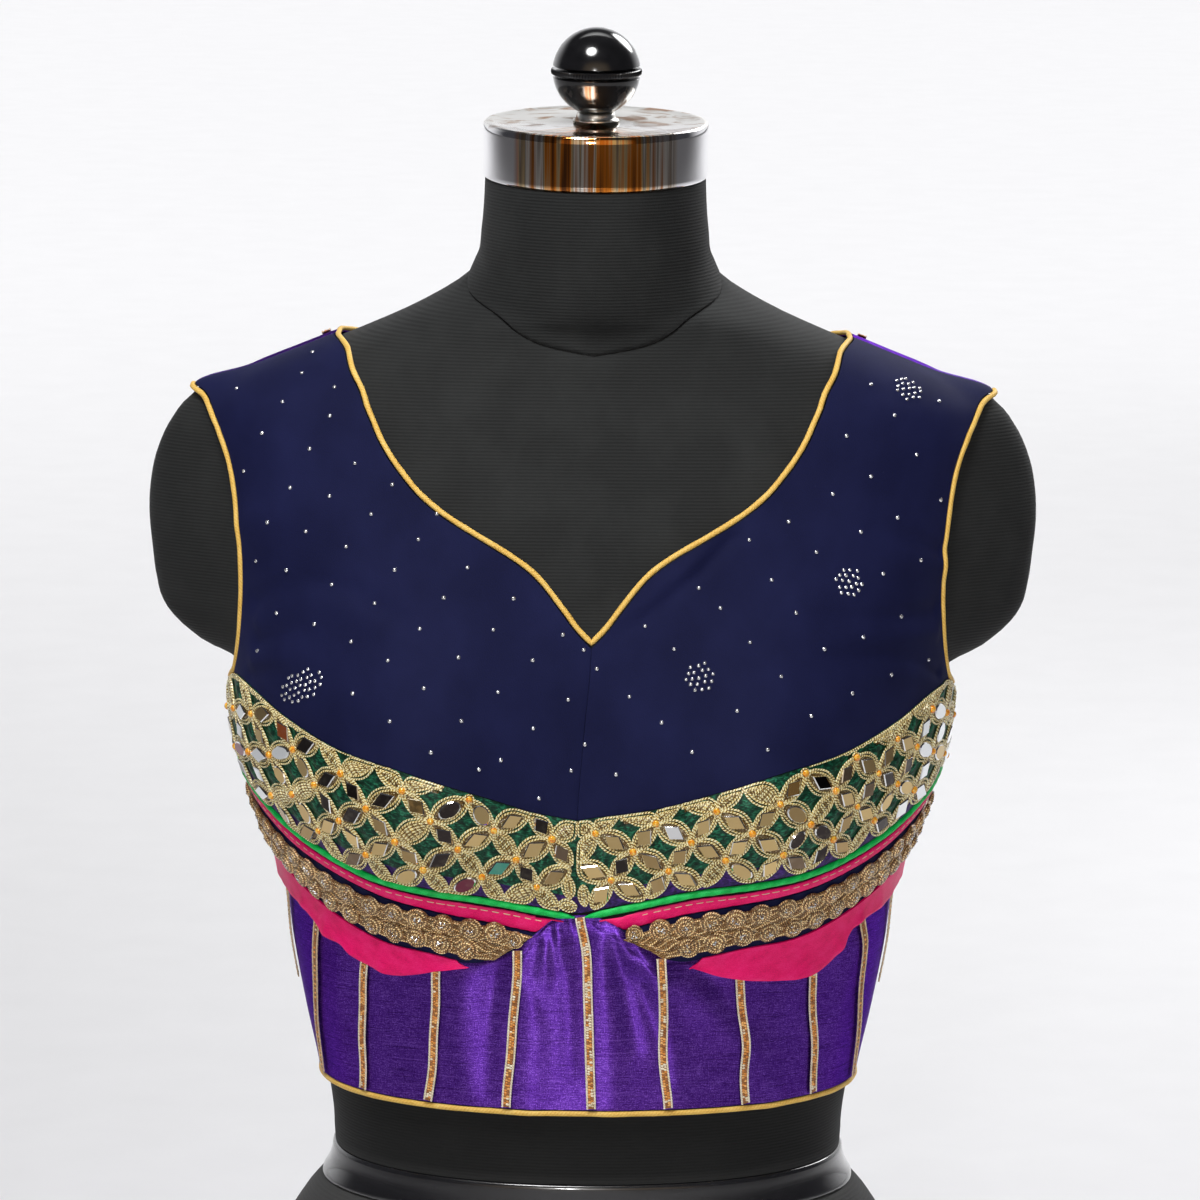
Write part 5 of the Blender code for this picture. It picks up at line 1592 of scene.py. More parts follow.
def ribbon_path(height, turn, out, aside=0.0, closed=False):
    """A line on the cloth and the directions off it. It is moved aside to its left, with mitred corners."""
    turn = leaned(height, turn)
    path, over = cloth_line(height, turn, out), body_normal(height, turn)
    if closed:
        ahead, behind = np.roll(path, -1, 0) - path, path - np.roll(path, 1, 0)
    else:
        ahead = np.diff(path, axis=0, append=path[-1:] * 2 - path[-2:-1])
        behind = np.diff(path, axis=0, prepend=path[:1] * 2 - path[1:2])
    along = unit(unit(ahead) + unit(behind))
    mitre = 1.0 / np.maximum(np.sum(along * unit(ahead), axis=-1, keepdims=True), 0.5)
    return path + unit(np.cross(over, along)) * np.asarray(aside)[..., None] * mitre, over


print("the silk peaks at", midriff_top(np.array([0.0])), "mm")

# %% Cords and stitches
for side, word in SIDES:
    turn = np.linspace(INNER_END["green"], TRIM_EDGE, 230)
    path, over = ribbon_path(seam("green", side * turn), side * turn, CLOTH_IN + GREEN_CORD[1] / 2 + 0.2)
    length = lengths_of(path)
    roll = 1 + 0.03 * np.sin(length * 2 * np.pi / CORD_TWIST) + 0.04 * np.sin(length * 0.31 + 1.0)
    tail = np.clip(length / 7.0, 0.12, 1.0) ** 0.6
    thick = (GREEN_CORD[1] + 0.5) * roll * tail**0.5
    green = tubes(Work(), path, over, GREEN_CORD[0] * roll * tail, thick, 14)
    green.piece(f"green_cord_{word}", green_satin, [f"green_piping_{word}"], crease=60)

    turn = np.linspace(INNER_END["magenta"], TRIM_EDGE, 260)
    high, low = seam("magenta", side * turn) + MAGENTA_CORD[0] / 2, magenta_foot(side, turn)
    wide = np.maximum(high - low, 0.7)
    path, over = ribbon_path(high - wide / 2, side * turn, CLOTH_IN + MAGENTA_CORD[1] / 2 + 0.12)
    length = lengths_of(path)
    pucker = 1 + 0.02 * np.sin(length * 2 * np.pi / STITCH_STEP) + 0.03 * np.sin(length * 0.21)
    crease = 1 - 0.3 * np.exp(-(((length - 64.0) / 1.4) ** 2)) * (side > 0)
    thick = MAGENTA_CORD[1] * 1.1 * pucker * crease * np.clip(wide / 4, 0.5, 1)
    magenta = tubes(Work(), path, over, wide * (2 - pucker), thick, 18)
    magenta = magenta.piece(f"magenta_cord_{word}", magenta_satin, [f"magenta_piping_{word}"], crease=60)
    begin = 10.0 + STITCH_STEP * np.arange(int((length[-1] - 14) / STITCH_STEP))
    begin = begin + rng.uniform(-0.3, 0.3, len(begin))
    at = begin[:, None] + STITCH * rng.uniform(0.8, 1.05, (len(begin), 1)) * np.linspace(0, 1, 6)[None]
    turns = np.interp(at, length, turn)
    dip = 0.16 * np.array([-0.6, 1, 1, 1, 1, -0.6])
    height = seam("magenta", side * turns) + 1.15
    turns = leaned(height, side * turns)
    path = cloth_line(height, turns, CLOTH_IN + MAGENTA_CORD[1] - 0.06 + dip)
    stitches = tubes(Work(), path, body_normal(height, turns), 0.42, 0.36, 5)
    stitches.piece(f"cream_stitches_{word}", cream_thread, on=magenta, crease=60)

# %% [markdown]
# ## Navy strip and gold lace
# The lace is couched gilt thread: two staggered rows of round coils on a narrow ground, with threads wound
# between them. A coil is one strand laid in a spiral over a small dome, so it is modelled as that, once,
# and stamped along the lace. The navy strip that the lace is sewn to shows above it and between its
# scallops.

# %% Sizes and rows of the lace
BAND_GAP, LIE = 0.6, 0.35
COIL_RADIUS, COIL_ROUNDS, COIL_PITCH = 5.85, 6.0, 11.4
LACE_COILS = {   # turns of the first coils of the upper and lower row; the rest follow at an even pitch
    "left": ((8.9, 13.4, 18.0, 22.7, 27.0, 31.6, 36.8, 41.8, 46.6, 51.0, 55.4),
             (18.6, 23.6, 28.8, 33.8, 39.0, 44.0, 48.8, 53.2)),
    "right": ((13.7, 17.6, 22.1, 27.1, 31.9, 36.7, 41.6, 46.7, 51.7, 56.4),
              (22.9, 27.8, 32.6, 37.2, 42.0, 47.0, 52.2)),
}
LACE_START = {"left": (14.2, 7.0), "right": (17.8, 10.2)}    # inner ends of the ground: lower, upper edge
LACE_THREADS = 13
LACE_INSET, LACE_WALL = (3.0, 2.4), 0.6    # the ground ends this far inside the seams; its thickness
ROW_INSET = (4.9, 7.4)    # the upper coils under the top seam, the lower ones above the low seam
LACE_TURNS = np.linspace(0, 90, 400)
LACE_MIDDLE = 11.0    # mm above the low seam at which lengths along the lace are taken
INNER_RISE = {"left": (3.3, 1.4), "right": (-1.2, 0.3)}    # how far the first two coils sit off their row
# lit and shaded copies of the gilt: painted highlight and painted shade for the rounds, dome, ground and
# threads; the darkest also marks the core
LACE_LIT_AND_SHADED_TONES = np.array([(1.2, 1.12, 1.0), (0.42, 0.29, 0.17), (1.05, 0.9, 0.72), (0.22, 0.14, 0.08)])


def strip_between(low, high, start_low, start_high, end, columns, rows, finer=0.3):
    """A grid between two seams, from slanted inner ends to the side seam."""
    v = np.linspace(0, 1, rows)[:, None]
    start = start_low + (start_high - start_low) * v
    turn = start + (end - start) * eased(columns, ends=finer)[None]
    return low(turn) * (1 - v) + high(turn) * v, turn


def lengthwise(height, turn, foot):
    """Flat places of a strip: along it, and up from its foot."""
    along = lengths_of(body_line(height[0], turn[0]))
    return np.stack([np.broadcast_to(along, height.shape), height - foot], -1)


def lace_row(turns, lengths):
    """The turns of a row of coils: the given ones, then an even pitch to the side."""
    at = np.interp(turns, LACE_TURNS, lengths)
    at = np.concatenate([at, np.arange(at[-1] + COIL_PITCH, lengths[-1] - 5.0, COIL_PITCH)])
    return np.interp(at, lengths, LACE_TURNS)


print("a coil comes every", COIL_PITCH, "mm")

# %% One coil and one spark
strand = np.linspace(0, 1, int(COIL_ROUNDS * 15))
spin = strand * COIL_ROUNDS * 2 * np.pi
reach = 0.5 + (COIL_RADIUS - 0.85) * strand
dome_rise = 0.35 + 1.9 * (1 - (reach / COIL_RADIUS) ** 2) ** 0.8
coil_path = np.column_stack([reach * np.cos(spin), reach * np.sin(spin), dome_rise])
coil = Work()
tubes(coil, coil_path, np.broadcast_to((0.0, 0.0, 1.0), coil_path.shape), 0.8, 0.8, 5)
winding = np.repeat(np.arange(len(strand) - 1), 5)
# rounds are painted light and dark by turns, as painted highlight and shade, with short dark flecks where the
# core shows
fleck = (winding * 0.618) % 1.0 < 0.2
coil.tones[0] = LACE_LIT_AND_SHADED_TONES[np.where(fleck, 3, (0.5 + strand[winding] * COIL_ROUNDS).astype(int) % 2)]
dome_profile = ((COIL_RADIUS - 0.4, 0.0), (COIL_RADIUS - 0.5, 0.25), (4.6, 1.0), (2.6, 1.7), (0.9, 2.0))
dome = turned_solid(dome_profile, 16)
coil.add(np.concatenate(dome.points), dome.faces, tone=LACE_LIT_AND_SHADED_TONES[3])
spark = turned_solid(((0.5, 0.0), (0.62, 0.3), (0.4, 0.62), (0.1, 0.75)), 7)
print("a coil has", coil.count, "points")

# %% Strip, ground, coils and sparks
for side, word in SIDES:
    height, turn = strip_between(
        lambda t: np.maximum(seam("lace_low", side * t) - STRIP_FOOT, midriff_top(side * t) + 0.3),
        lambda t: np.maximum(magenta_foot(side, t) - BAND_GAP, midriff_top(side * t) + 0.6),
        INNER_END["strip"], INNER_END["strip"], SIDE_EDGE, 130, 12)
    flat = lengthwise(height, turn, seam("lace_low", side * turn))
    height, turn, flat = on_side(side, height, turn, flat)
    work = panel(height, turn, flat=flat)
    strip = cut_piece(work, f"strip_crepe_{word}", crepe, f"navy_strip_{word}")

    height, turn = strip_between(
        lambda t: seam("lace_low", side * t) + LACE_INSET[0],
        lambda t: seam("lace_top", side * t) - LACE_INSET[1],
        *LACE_START[word], TRIM_EDGE - 1.0, 180, 10)
    flat = lengthwise(height, turn, seam("lace_low", side * turn))
    height, turn, flat = on_side(side, height, turn, flat)
    work = panel(height, turn, CLOTH_OUT + LIE, CLOTH_OUT + LIE + LACE_WALL, flat=flat)
    work.tones = [np.broadcast_to(LACE_LIT_AND_SHADED_TONES[1], tone.shape) for tone in work.tones]
    ground = cut_piece(work, f"lace_ground_{word}", lace_gilt, f"zari_lace_{word}")

    lengths = lengths_of(body_line(seam("lace_low", side * LACE_TURNS) + LACE_MIDDLE, LACE_TURNS))
    upper, lower = [lace_row(row, lengths) for row in LACE_COILS[word]]
    turns = np.concatenate([upper, lower])
    is_upper = np.arange(len(turns)) < len(upper)
    height = np.where(is_upper, seam("lace_top", side * turns) - ROW_INSET[0],
                      seam("lace_low", side * turns) + ROW_INSET[1])
    height += rng.normal(0, 0.3, len(turns))
    height[:2] += INNER_RISE[word]
    size = rng.uniform(0.96, 1.04, len(turns))
    size[0] = 0.78
    out = CLOTH_OUT + LIE + np.where(is_upper, 0.62, 0.9)
    origin, frame_at = frames_on(height, leaned(height, side * turns), out)
    tones = rng.uniform(0.85, 1.12, (len(turns), 1))
    spun = rotated(frame_at, rng.uniform(0, 6, len(turns)))
    coils = stamp(Work(), coil, origin, spun, size[:, None], tones)
    # threads wound between the two rows
    for k in range(LACE_THREADS):
        share = (k + 0.5) / LACE_THREADS
        start_low, start_high = LACE_START[word]
        turns = np.linspace(start_low * (1 - share) + start_high * share + 0.5, 88.4, 260)
        along = np.interp(turns, LACE_TURNS, lengths)
        wave = 1.2 * np.sin(along * 2 * np.pi / COIL_PITCH + k * 0.9)
        low, high = seam("lace_low", side * turns) + 3.4, seam("lace_top", side * turns) - 2.8
        height = low * (1 - share) + high * share + wave * min(1.0, 4 * share * (1 - share) + 0.1)
        at = leaned(height, side * turns)
        path = cloth_line(height, at, CLOTH_OUT + LIE + 0.95 + 0.5 * math.sin(math.pi * share))
        tubes(coils, path, body_normal(height, at), 0.7, 0.62, 5, tone=LACE_LIT_AND_SHADED_TONES[k % 4])
    coils.piece(f"lace_coils_{word}", lace_gilt, on=ground, crease=60)
    sparks = Work()
    for o, f in zip(origin, frame_at):
        place = rng.uniform(-1.9, 1.9, (6, 2))
        rise_at = 2.5 - 0.14 * np.sum(place**2, axis=1)
        points = o + place[:, :1] * f[:, 0] + place[:, 1:] * f[:, 1] + rise_at[:, None] * f[:, 2]
        stamp(sparks, spark, points, np.broadcast_to(f, (6, 3, 3)), rng.uniform(0.55, 1.05, (6, 1)))
    sparks.piece(f"lace_sparks_{word}", stone_finish, on=ground, crease=25)

# %% [markdown]
# ## Magenta frill
# A strip of magenta satin is folded double, laid in flat pleats and tucked under the lace. It follows the
# midriff and stands off it a little at its wavy lower edge. The two sides are not alike: each has its own
# run of the edge.

# %% Frills
FRILL_WALL, FRILL_FLARE = 1.0, 1.6
FRILL_SLANT = 2.6      # degrees by which its inner end slants
FRILL_START = {"left": 18.8, "right": 22.4}
FRILL_LOW = {
    "left": (
        (19.6, 320.4), (21.0, 318.6), (23.4, 316.3), (27.4, 314.3), (35.7, 311.7), (41.6, 311.6),
        (46.5, 313.6), (50.2, 318.9), (53.0, 324.1), (54.6, 330.0), (57.6, 334.2), (64, 337.5), (72, 341),
        (80, 345.5), (90, 349),
    ),
    "right": (
        (19.8, 320.6), (22.8, 319.4), (28.3, 317.0), (33.7, 313.6), (39, 312.1), (42.7, 314.5),
        (47.6, 318.8), (50.7, 323.7), (54.7, 325.0), (57.4, 327.4), (60.1, 332.5), (63.2, 336.5), (72, 341),
        (80, 345.5), (90, 349),
    ),
}
PLEATS = {   # turn at the foot, turn at the top, rise and half width in mm
    "left": (
        (30, 33, 0.5, 5), (38.5, 36, -0.4, 3), (44, 42, 0.5, 4), (52.5, 49, 0.8, 2.2),
        (54.8, 52.5, -0.8, 2.0), (58, 58, 0.6, 3), (66, 65, 0.5, 4), (76, 75, -0.4, 4), (83, 84, 0.5, 4),
    ),
    "right": (
        (27, 29, 0.5, 4), (34, 36, -0.4, 3), (40.5, 40, 0.7, 3), (44, 42, -0.6, 2.4), (48.5, 46, 0.6, 3),
        (56, 54, 0.7, 2.2), (59, 57, -0.7, 2.0), (64, 63, 0.6, 3), (73, 72, -0.4, 4), (81, 82, 0.5, 4),
    ),
}


def frill_low(word, turn):
    return smooth(FRILL_LOW[word], np.abs(turn))


for side, word in SIDES:
    v = np.linspace(0, 1, 20)[:, None]
    start = FRILL_START[word] + FRILL_SLANT * v
    turn = start + (TRIM_EDGE - start) * eased(200, ends=0.2)[None]
    low, high = frill_low(word, turn), seam("lace_low", side * turn) - 0.3
    low = np.minimum(low, high - 0.8)
    height = low * (1 - v) + high * v
    out = CLOTH_OUT + LIE + FRILL_FLARE * (1 - v) ** 1.3 * np.ones_like(turn)
    for foot, head, rise, half_width in PLEATS[word]:
        away = (turn - (foot + (head - foot) * v)) * np.interp(height, *DEGREE)
        out = out + rise * (1.05 - v) * np.exp(-((away / half_width) ** 2))
    out = np.maximum(out, CLOTH_OUT + LIE + 1.3 * (1 - v))
    flat = lengthwise(height, turn, seam("lace_low", side * turn))
    edge = -0.35 * np.exp(-((v * 19 / 0.8) ** 2)) * np.ones_like(turn)
    height, turn, out, flat, edge = on_side(side, height, turn, out, flat, edge)
    outer = cloth_line(height, turn, out + FRILL_WALL + edge)
    inner = cloth_line(height, turn, out - edge)
    work = shell(Work(), outer, inner, grid_faces(*height.shape), flat)
    cut_piece(work, f"frill_satin_{word}", magenta_satin, f"magenta_frill_{word}",
              60)

# %% [markdown]
# ## Silk midriff
# One wide piece of silk is drawn up to a peak under the centre seam and gathered there, so folds run down
# from the peak and die out. They are in the table of folds above; here the grid only has to be fine enough
# to carry them. The gathered edge is tucked under the cords and the strip, so it drops away for its last
# few millimetres.

# %% Midriff
last = GATHERED_EDGE["left"][-1][0]
turn = np.concatenate([-eased(88, last, SIDE_EDGE)[::-1], np.linspace(-last, last, 102)[1:-1],
                       eased(88, last, SIDE_EDGE)])
v = eased(64, ends=0.45)[:, None]
height = HEM * (1 - v) + midriff_top(turn)[None] * v
below = midriff_top(turn)[None] - height
turn = np.broadcast_to(turn, height.shape)
held_flat = 0.75 * fold_rise(height, turn) * np.exp(-((below / 6.0) ** 2))
work = panel(height, turn, puff=-1.3 * np.exp(-((below / 0.9) ** 2)) - held_flat)
cut_piece(work, "midriff_silk", purple_silk, "silk_midriff")

# %% [markdown]
# ## Silk backs
# The backs are cut from the same silk, one each side of the centre back, where the blouse closes. A back
# has to go round the armhole, so its grid is two patches that share a row: one up to the underarm line, one
# beside the armhole.

# %% Backs
UNDER, ACROSS, LOWER_ROWS, UPPER_ROWS, CENTRE_ROWS = 16, 40, 44, 70, 14
for side, word in SIDES:
    hole = resample(ARMHOLE_BACK, np.linspace(0, 1, UNDER + UPPER_ROWS + 1))
    hole[0, 0] = hole[-1, 0] = BACK_SIDE_EDGE
    neck = resample(NECK_BACK, np.linspace(0, 1, UPPER_ROWS - CENTRE_ROWS + 1))
    neck[0, 0], neck[-1, 0] = BACK_CENTRE_EDGE, BACK_SIDE_EDGE
    across = np.linspace(0, 1, ACROSS + 1)[:, None]
    line = hole[UNDER] + across * (np.array([BACK_CENTRE_EDGE, UNDERARM_LINE]) - hole[UNDER])
    top = joined_edges(hole[: UNDER + 1], line)
    share = np.linspace(0, 1, UNDER + ACROSS + 1)[:, None]
    hem = np.array([BACK_SIDE_EDGE, HEM]) + share * np.array([BACK_CENTRE_EDGE - BACK_SIDE_EDGE, 0.0])
    rise_share = np.linspace(0, 1, LOWER_ROWS + 1)[:, None]
    low_height, low_turn = patch(hem, top, hem[0] + rise_share * (top[0] - hem[0]),
                                 hem[-1] + rise_share * (top[-1] - hem[-1]))
    centre_rise = np.linspace(line[-1], neck[0], CENTRE_ROWS + 1)
    centre = joined_edges(centre_rise, neck)
    shoulder = hole[-1] + across * (centre[-1] - hole[-1])
    high_height, high_turn = patch(line, shoulder, hole[UNDER:], centre)
    low_count = low_height.size
    low_n = np.arange(low_count).reshape(low_height.shape)
    high_n = np.concatenate([low_n[-1:, UNDER:],
                             low_count + np.arange(high_height[1:].size).reshape(-1, ACROSS + 1)])
    quads = np.concatenate([quads_of(low_n), quads_of(high_n)])
    height = np.concatenate([low_height.ravel(), high_height[1:].ravel()])
    turn = np.concatenate([low_turn.ravel(), high_turn[1:].ravel()])
    if side < 0:
        turn, quads = -turn, quads[:, ::-1]
    work = panel(height, turn, quads=quads)
    cut_piece(work, f"back_silk_{word}", purple_silk, f"silk_back_{word}")

# %% [markdown]
# ## Gold stripes
# The silk is striped with gold braid, sewn on the straight grain. A braid is a copper tape between two
# twisted cream cords, with two rows of small sequins down the middle. The stripe at the centre front has
# the brightest sequins, and the ones at the sides and back are plainer.

# %% Where the stripes run
TAPE, CORD_ASIDE = (3.8, 0.5), 1.82    # mm across and thick; the middle of a cord from the middle
FRONT_LIE, BACK_LIE, STRIPE_END = 0.8, 1.1, 2.5
STRIPE_FOOT, STRIPE_TOP, BLADE_EASE = HEM + 1.0, 335.0, 20.0
FRONT_STRIPES = (   # mm from the centre at the hem and at the top, and where it starts
    (0, 0, STRIPE_FOOT), (37.5, 33.5, STRIPE_FOOT), (76, 71.5, STRIPE_FOOT), (114.5, 110, STRIPE_FOOT),
    (152, 143, STRIPE_FOOT), (188, 178, 293),
)
BACK_STRIPES = (    # mm from the centre, and the heights of its ends
    (19, STRIPE_FOOT, 542), (56, STRIPE_FOOT, 548), (94, STRIPE_FOOT, 566), (131, STRIPE_FOOT, 600),
    (163, 263, 546),
)
EDGE_TONE, PLAIN_EDGE_TONE, TAPE_TONE = (1.0, 0.95, 0.86), (0.9, 0.72, 0.5), (0.4, 0.17, 0.05)
SEQUIN_TONES = np.array([(0.85, 0.36, 0.08), (0.98, 0.56, 0.2), (0.45, 0.18, 0.05), (1.0, 0.95, 0.82)])
sequin = turned_solid(((0.62, 0.0), (0.72, 0.16), (0.5, 0.42), (0.2, 0.48)), 8)


def turn_at_distance(height, distance, back=False):
    """The turn that lies this far along the cloth from the centre line, or straight up over the blades."""
    sweep = np.linspace(0, 90, 91)
    turns = 180 - sweep if back else sweep
    found = []
    for h, d in zip(height, distance):
        ring_line = body_line(np.full_like(turns, min(h, BLADE)), turns)
        turn = np.interp(d, lengths_of(ring_line), turns)
        if h > BLADE:
            upper = body_line(np.full_like(turns, h), turns)
            turn = np.interp(np.interp(d, lengths_of(ring_line), ring_line[:, 0]), upper[:, 0], turns)
        found.append(turn)
    return np.array(found)


print("the second stripe starts at", np.round(turn_at_distance([HEM], [37.5]), 1), "degrees")

# %% One braid
def braid(name, height, turn, lie, solid, rows, bright):
    """One stripe along a line of places. Bright is about the share of pale sequins."""
    low = CLOTH_OUT + lie
    work = Work()
    over = body_normal(height, turn)
    # a plain braid, at the sides and back, has coarser cords
    finer, lay, cord_tone = (5, 1.5, EDGE_TONE) if rows > 1 else (2, 3.3, PLAIN_EDGE_TONE)
    path, _ = ribbon_path(height, turn, low + 0.28)
    tubes(work, path, over, *TAPE, 8, tone=TAPE_TONE)
    for aside in (-CORD_ASIDE, CORD_ASIDE):
        path, _ = ribbon_path(height, turn, low + 0.45, aside)
        fine = np.linspace(0, 1, finer * len(path))
        length = lengths_of(path)
        path = np.column_stack([np.interp(fine * length[-1], length, path[:, i]) for i in range(3)])
        fine_over = np.column_stack([np.interp(fine * length[-1], length, over[:, i]) for i in range(3)])
        twist = 1 + 0.16 * np.sin(fine * length[-1] * 2 * np.pi / lay + aside)
        tubes(work, path, fine_over, 1.0 * twist, 0.84 * twist, 6, tone=cord_tone)
    for row in range(rows):
        aside = (row - (rows - 1) / 2) * 1.3
        path, _ = ribbon_path(height, turn, low + 0.5, aside)
        length = lengths_of(path)
        at = np.arange(1.6 + row * 0.5, length[-1] - 1.2, 1.3 if rows > 1 else 2.6)
        at = at + rng.uniform(-0.15, 0.15, len(at))
        turn_there, height_there = [np.interp(at, length, column) for column in (turn, height)]
        origin, frame_at = frames_on(height_there, leaned(height_there, turn_there), low + 0.44)
        origin = origin + frame_at[..., 0] * (-aside + rng.uniform(-0.12, 0.12, len(at)))[:, None]
        # pale sequins come in runs
        run = np.sin(at * 0.33 + row) + 0.6 * np.sin(at * 0.71) > 1.5 - 1.4 * bright
        pick = np.where(run & (rng.random(len(at)) < 0.75), 3, rng.integers(0, 3, len(at)))
        stamp(work, sequin, origin, rotated(frame_at, rng.uniform(-0.3, 0.3, len(at))),
              rng.uniform(0.85, 1.15, (len(at), 1)) * (1.15, 0.8, 1.0), SEQUIN_TONES[pick])
    return work.piece(name, copper_gilt, [solid], crease=60)


print("a sequin has", sequin.count, "points")

# %% Stripes
for row, (at_hem, at_top, foot) in enumerate(FRONT_STRIPES):
    top_turn = turn_at_distance([STRIPE_TOP], [at_top])[0]
    for side, word in SIDES if row else SIDES[:1]:
        solid_head = (seam("frill_low", top_turn) if row > 1 else midriff_top(top_turn)) - STRIPE_END
        head = frill_low(word, top_turn) + 0.8 if row > 1 else midriff_top(side * top_turn) - 0.2
        height = np.linspace(foot, head, 60)
        along = (height - HEM) / (solid_head - HEM)
        wander = 0.55 * np.sin(along * 5.2 + row * 1.7 + side) + 0.3 * np.sin(along * 11.0 + row)
        turn = turn_at_distance(height, at_hem + (at_top - at_hem) * along + (wander if row else 0.0))
        name = f"front_stripe_{row * side + len(FRONT_STRIPES):02d}"
        braid(name.replace("stripe", "braid"), height, turn * side, FRONT_LIE, name, 2 if row < 4 else 1,
              (1.0, 0.55, 0.3, 0.2, 0.1, 0.1)[row])

for row, (distance, foot, head) in enumerate(BACK_STRIPES):
    for side, word in SIDES:
        lower = np.linspace(foot, BLADE - BLADE_EASE, 90)
        upper = np.linspace(BLADE - BLADE_EASE, head, 4 + int(head - BLADE) // 3)
        height = joined_edges(lower, upper)
        wander = 0.35 * np.sin(height * 0.045 + row * 2.1 + side)
        turn = turn_at_distance(height, distance + wander, back=True)
        name = f"back_stripe_{word}_{row + 1}"
        braid(name.replace("stripe", "braid"), height, turn * side, BACK_LIE, name, 1, 0.1)

# %% [markdown]
# ## Piped edges
# The neck, the armholes and the hem are bound with a thin yellow bias piping, which is a closed round tube
# beside the edge. It shares the panels' edge places, so it stays with them round every curve.

# %% One piping
PIPING, PIPING_UNDER = (2.6, 2.2), 0.3
EDGE_CORD_GAP = 0.7
pipe_out = CLOTH_IN - PIPING_UNDER + PIPING[1] / 2
pipe_aside = PIPING[0] / 2 + EDGE_CORD_GAP


def piping(name, height, turn, aside, solid):
    path, over = ribbon_path(height, turn, pipe_out, aside, closed=True)
    length = lengths_of(path)
    wrap = 1 + 0.02 * np.sin(length * 2 * np.pi / 3.1) + 0.03 * np.sin(length * 0.31)
    work = tubes(Work(), path, over, PIPING[0] * wrap * 1.02, PIPING[1] * wrap * 1.05, 12, closed=True)
    work.piece(name, yellow_piping, [solid], crease=60)


print("a piping lies", round(pipe_aside, 2), "mm beside its edge")

# %% Neck, armholes and hem
front = resample(NECK_FRONT, np.linspace(0, 1, 56))
back = resample(NECK_BACK, np.linspace(0, 1, 60))
left_half = np.concatenate([front, back[::-1][1:]])
neck = np.concatenate([left_half, left_half[::-1][1:-1] * (-1, 1)])
piping("neck_edge", neck[:, 1], neck[:, 0], pipe_aside, "neck_piping")
for side, word in SIDES:
    turns = np.linspace(90, 73.5, 14)
    under = np.column_stack([turns, seam("band_top", turns)])
    front = resample(ARMHOLE_FRONT, np.linspace(0, 1, 70))
    back = resample(ARMHOLE_BACK, np.linspace(0, 1, 80))
    hole = np.concatenate([under, front, back[::-1][1:-1]])
    hole = hole[::-1] if side > 0 else hole
    piping(f"armhole_edge_{word}", hole[:, 1], hole[:, 0] * side, pipe_aside, f"armhole_piping_{word}")
turn = np.linspace(-180, 180, 241)[:-1]
piping("hem_edge", np.full_like(turn, HEM), turn, -pipe_aside, "hem_piping")
print("all pieces made, triangles in all", sum(TRIANGLES.values()))

# %% [markdown]
# ## Stage and light
# The form stands on a plain pale floor that runs out of view on every side. A soft light hangs in front and
# above, a small one beside the camera puts the highlights on silk, glass and chrome, and a third fills the
# back. A wide panel with a narrow spread whitens only the floor behind. A dim sky fills the shadows, so
# that dark cloth stays dark. Polished metal shows what is in front of it, so the sky is tan on that side,
# as a room is.

# %% Floor
def pale_floor():
    finish = Finish("floor_paper", "navy_crepe")
    speck = finish.noise(finish.space(), 60.0, 3.0)
    finish.feed(Base_Color=finish.mix(speck, dye(232, 232, 234), dye(238, 238, 240)),
                Roughness=0.85 + speck * 0.1)
    return finish


FLOOR_RADIUS, FLOOR_SIDES, FLOOR_DROP = 22.0, 96, 0.0005    # metres, and how far under the form
around = np.linspace(0, 2 * np.pi, FLOOR_SIDES + 1)[:-1]
rim = [(FLOOR_RADIUS * math.cos(a), FLOOR_RADIUS * math.sin(a), -FLOOR_DROP) for a in around]
floor_mesh = bpy.data.meshes.new("floor")
floor_mesh.from_pydata(rim, [], [tuple(range(FLOOR_SIDES))])
floor_mesh.materials.append(pale_floor().material)
floor = bpy.data.objects.new("floor", floor_mesh)
bpy.context.scene.collection.objects.link(floor)
print("the floor is", 2 * FLOOR_RADIUS, "m across")

# %% Lights
def soft_light(name, place, aim, size, power, spread=180.0):
    lamp = bpy.data.lights.new(name, "AREA")
    lamp.shape, lamp.size, lamp.energy, lamp.spread = "DISK", size, power, math.radians(spread)
    thing = bpy.data.objects.new(name, lamp)
    thing.location = place
    x, y, z = unit(np.array(aim) - np.array(place))
    # a light looks down its own -Z: tip it up from there, then swing it round
    thing.rotation_euler = Euler((math.acos(-z), 0.0, math.atan2(y, x) - math.pi / 2))
    bpy.context.scene.collection.objects.link(thing)


MIDDLE_OF_FORM = (0.0, 0.0, 0.5)
CHEST = (0.0, 0.0, 0.55)
soft_light("high_soft", (-0.3, -0.75, 1.95), CHEST, 0.6, 6.6, 100.0)
soft_light("beside_camera", (-0.25, -2.9, 1.0), MIDDLE_OF_FORM, 0.3, 21.0)
soft_light("back_fill", (1.2, 1.6, 1.9), CHEST, 1.2, 30.0)
soft_light("floor_panel", (0.0, 7.4, 4.5), (0.0, 7.4001, 0.0), 11.5, 345.0, 80.0)
print(len(bpy.data.lights), "lights")

# %% Sky
sky = bpy.data.worlds.new("sky")
bpy.context.scene.world = sky
sky.use_nodes = True


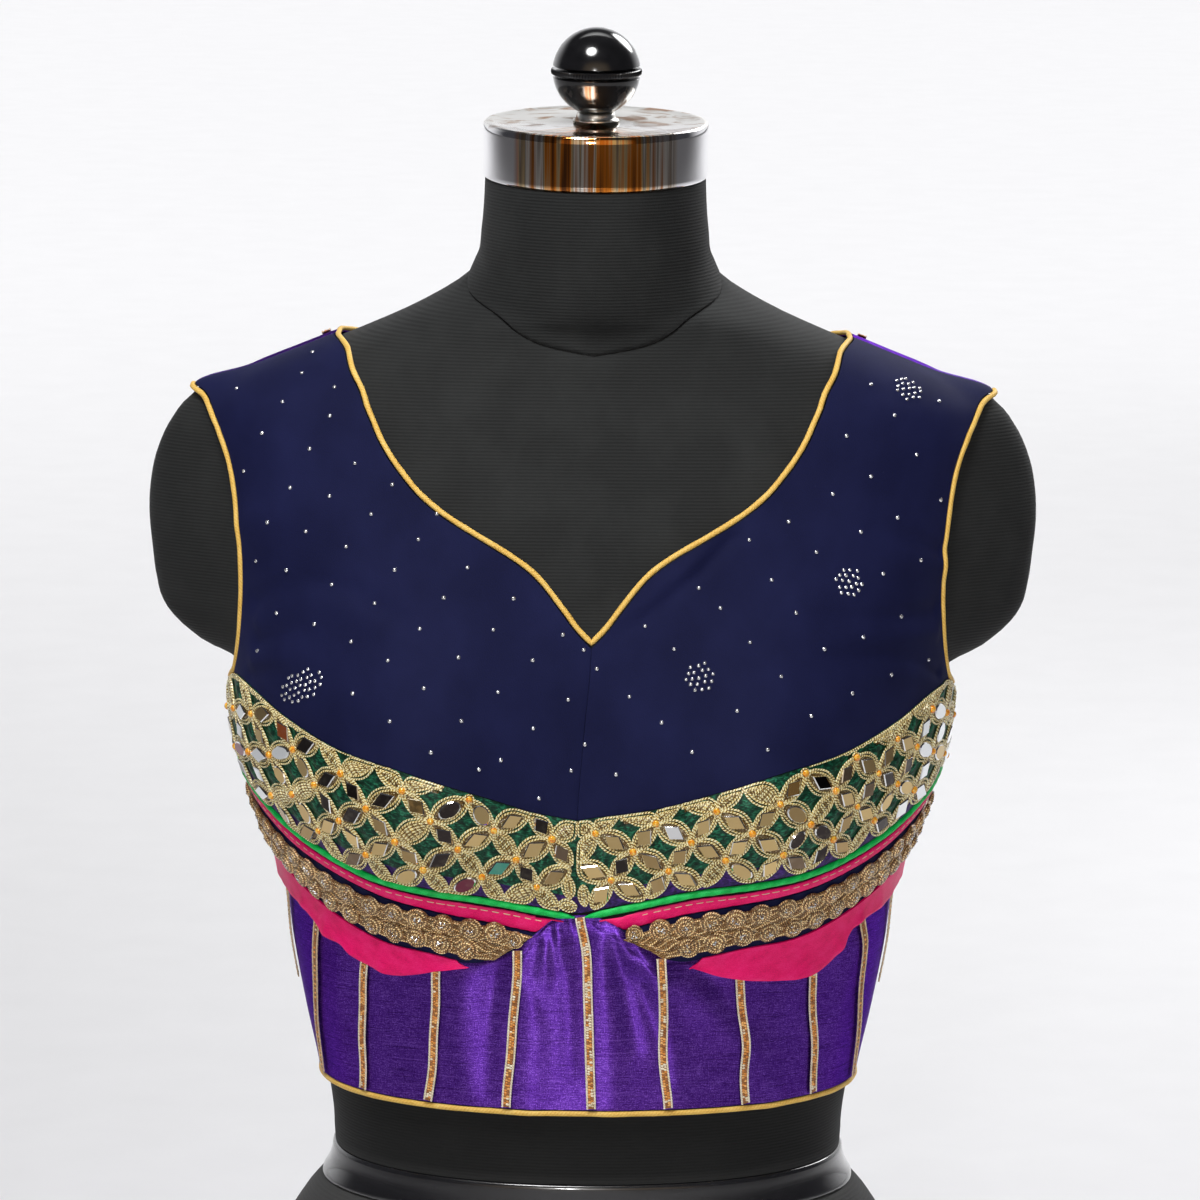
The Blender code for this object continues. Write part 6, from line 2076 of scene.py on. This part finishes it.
def smooth_steps(value, low, high):
    """0 at low, 1 at high, soft between."""
    return value.nodes.node("ShaderNodeMapRange", {"interpolation_type": "SMOOTHSTEP"},
                            {0: value, 1: low, 2: high, 3: 0.0, 4: 1.0})


air = Nodes(sky.node_tree)
_, depth, up = air.parts(air.node("ShaderNodeTexCoord"))
level = smooth_steps(up.math("ABSOLUTE"), 0.62, 0.3)
shade = air.mix(smooth_steps(depth, -0.72, -0.94) * level, (0.04, 0.04, 0.045), (0.5, 0.38, 0.25))
shade = air.mix(smooth_steps(depth, 0.3, 0.8) * level, shade, (0.85, 0.85, 0.87))
backdrop = sky.node_tree.nodes["Background"]
sky.node_tree.links.new(shade.socket, backdrop.inputs["Color"])
backdrop.inputs["Strength"].default_value = 1.0
bpy.context.scene.view_settings.view_transform = "Standard"
print("stage is set")

# %% [markdown]
# ## The camera
# The camera stands three metres in front and looks ten degrees down, so that the top of the neck cap shows.
# Its lens is long, which keeps the form's outline close to its true widths.

# %% Camera
AIM = (3.9, MIDDLE, 478.0)
DISTANCE, ELEVATION, ROLL = 3000.0, 10.0, 0.5
PIXELS_PER_MM, FRAME_PIXELS = 2.062, 1200
lens_half = FRAME_PIXELS / 2 / PIXELS_PER_MM / DISTANCE
camera_data = bpy.data.cameras.new("camera")
camera_data.sensor_width = 36.0
camera_data.lens = camera_data.sensor_width / 2 / lens_half
camera_data.clip_end = 60.0
camera = bpy.data.objects.new("camera", camera_data)
rise = math.radians(ELEVATION)
camera.location = (np.array(AIM) + DISTANCE * np.array([0.0, -math.cos(rise), math.sin(rise)])) * MM
turned = Matrix.Rotation(math.radians(90 - ELEVATION), 4, "X") @ Matrix.Rotation(math.radians(ROLL), 4, "Z")
camera.rotation_euler = turned.to_euler()
bpy.context.scene.collection.objects.link(camera)
bpy.context.scene.camera = camera
print("lens", round(camera_data.lens, 1), "mm, triangles in all", sum(TRIANGLES.values()))

# %% [markdown]
# ## The end
# Last, the scene is brought up to date.

# %% The end
bpy.context.view_layer.update()
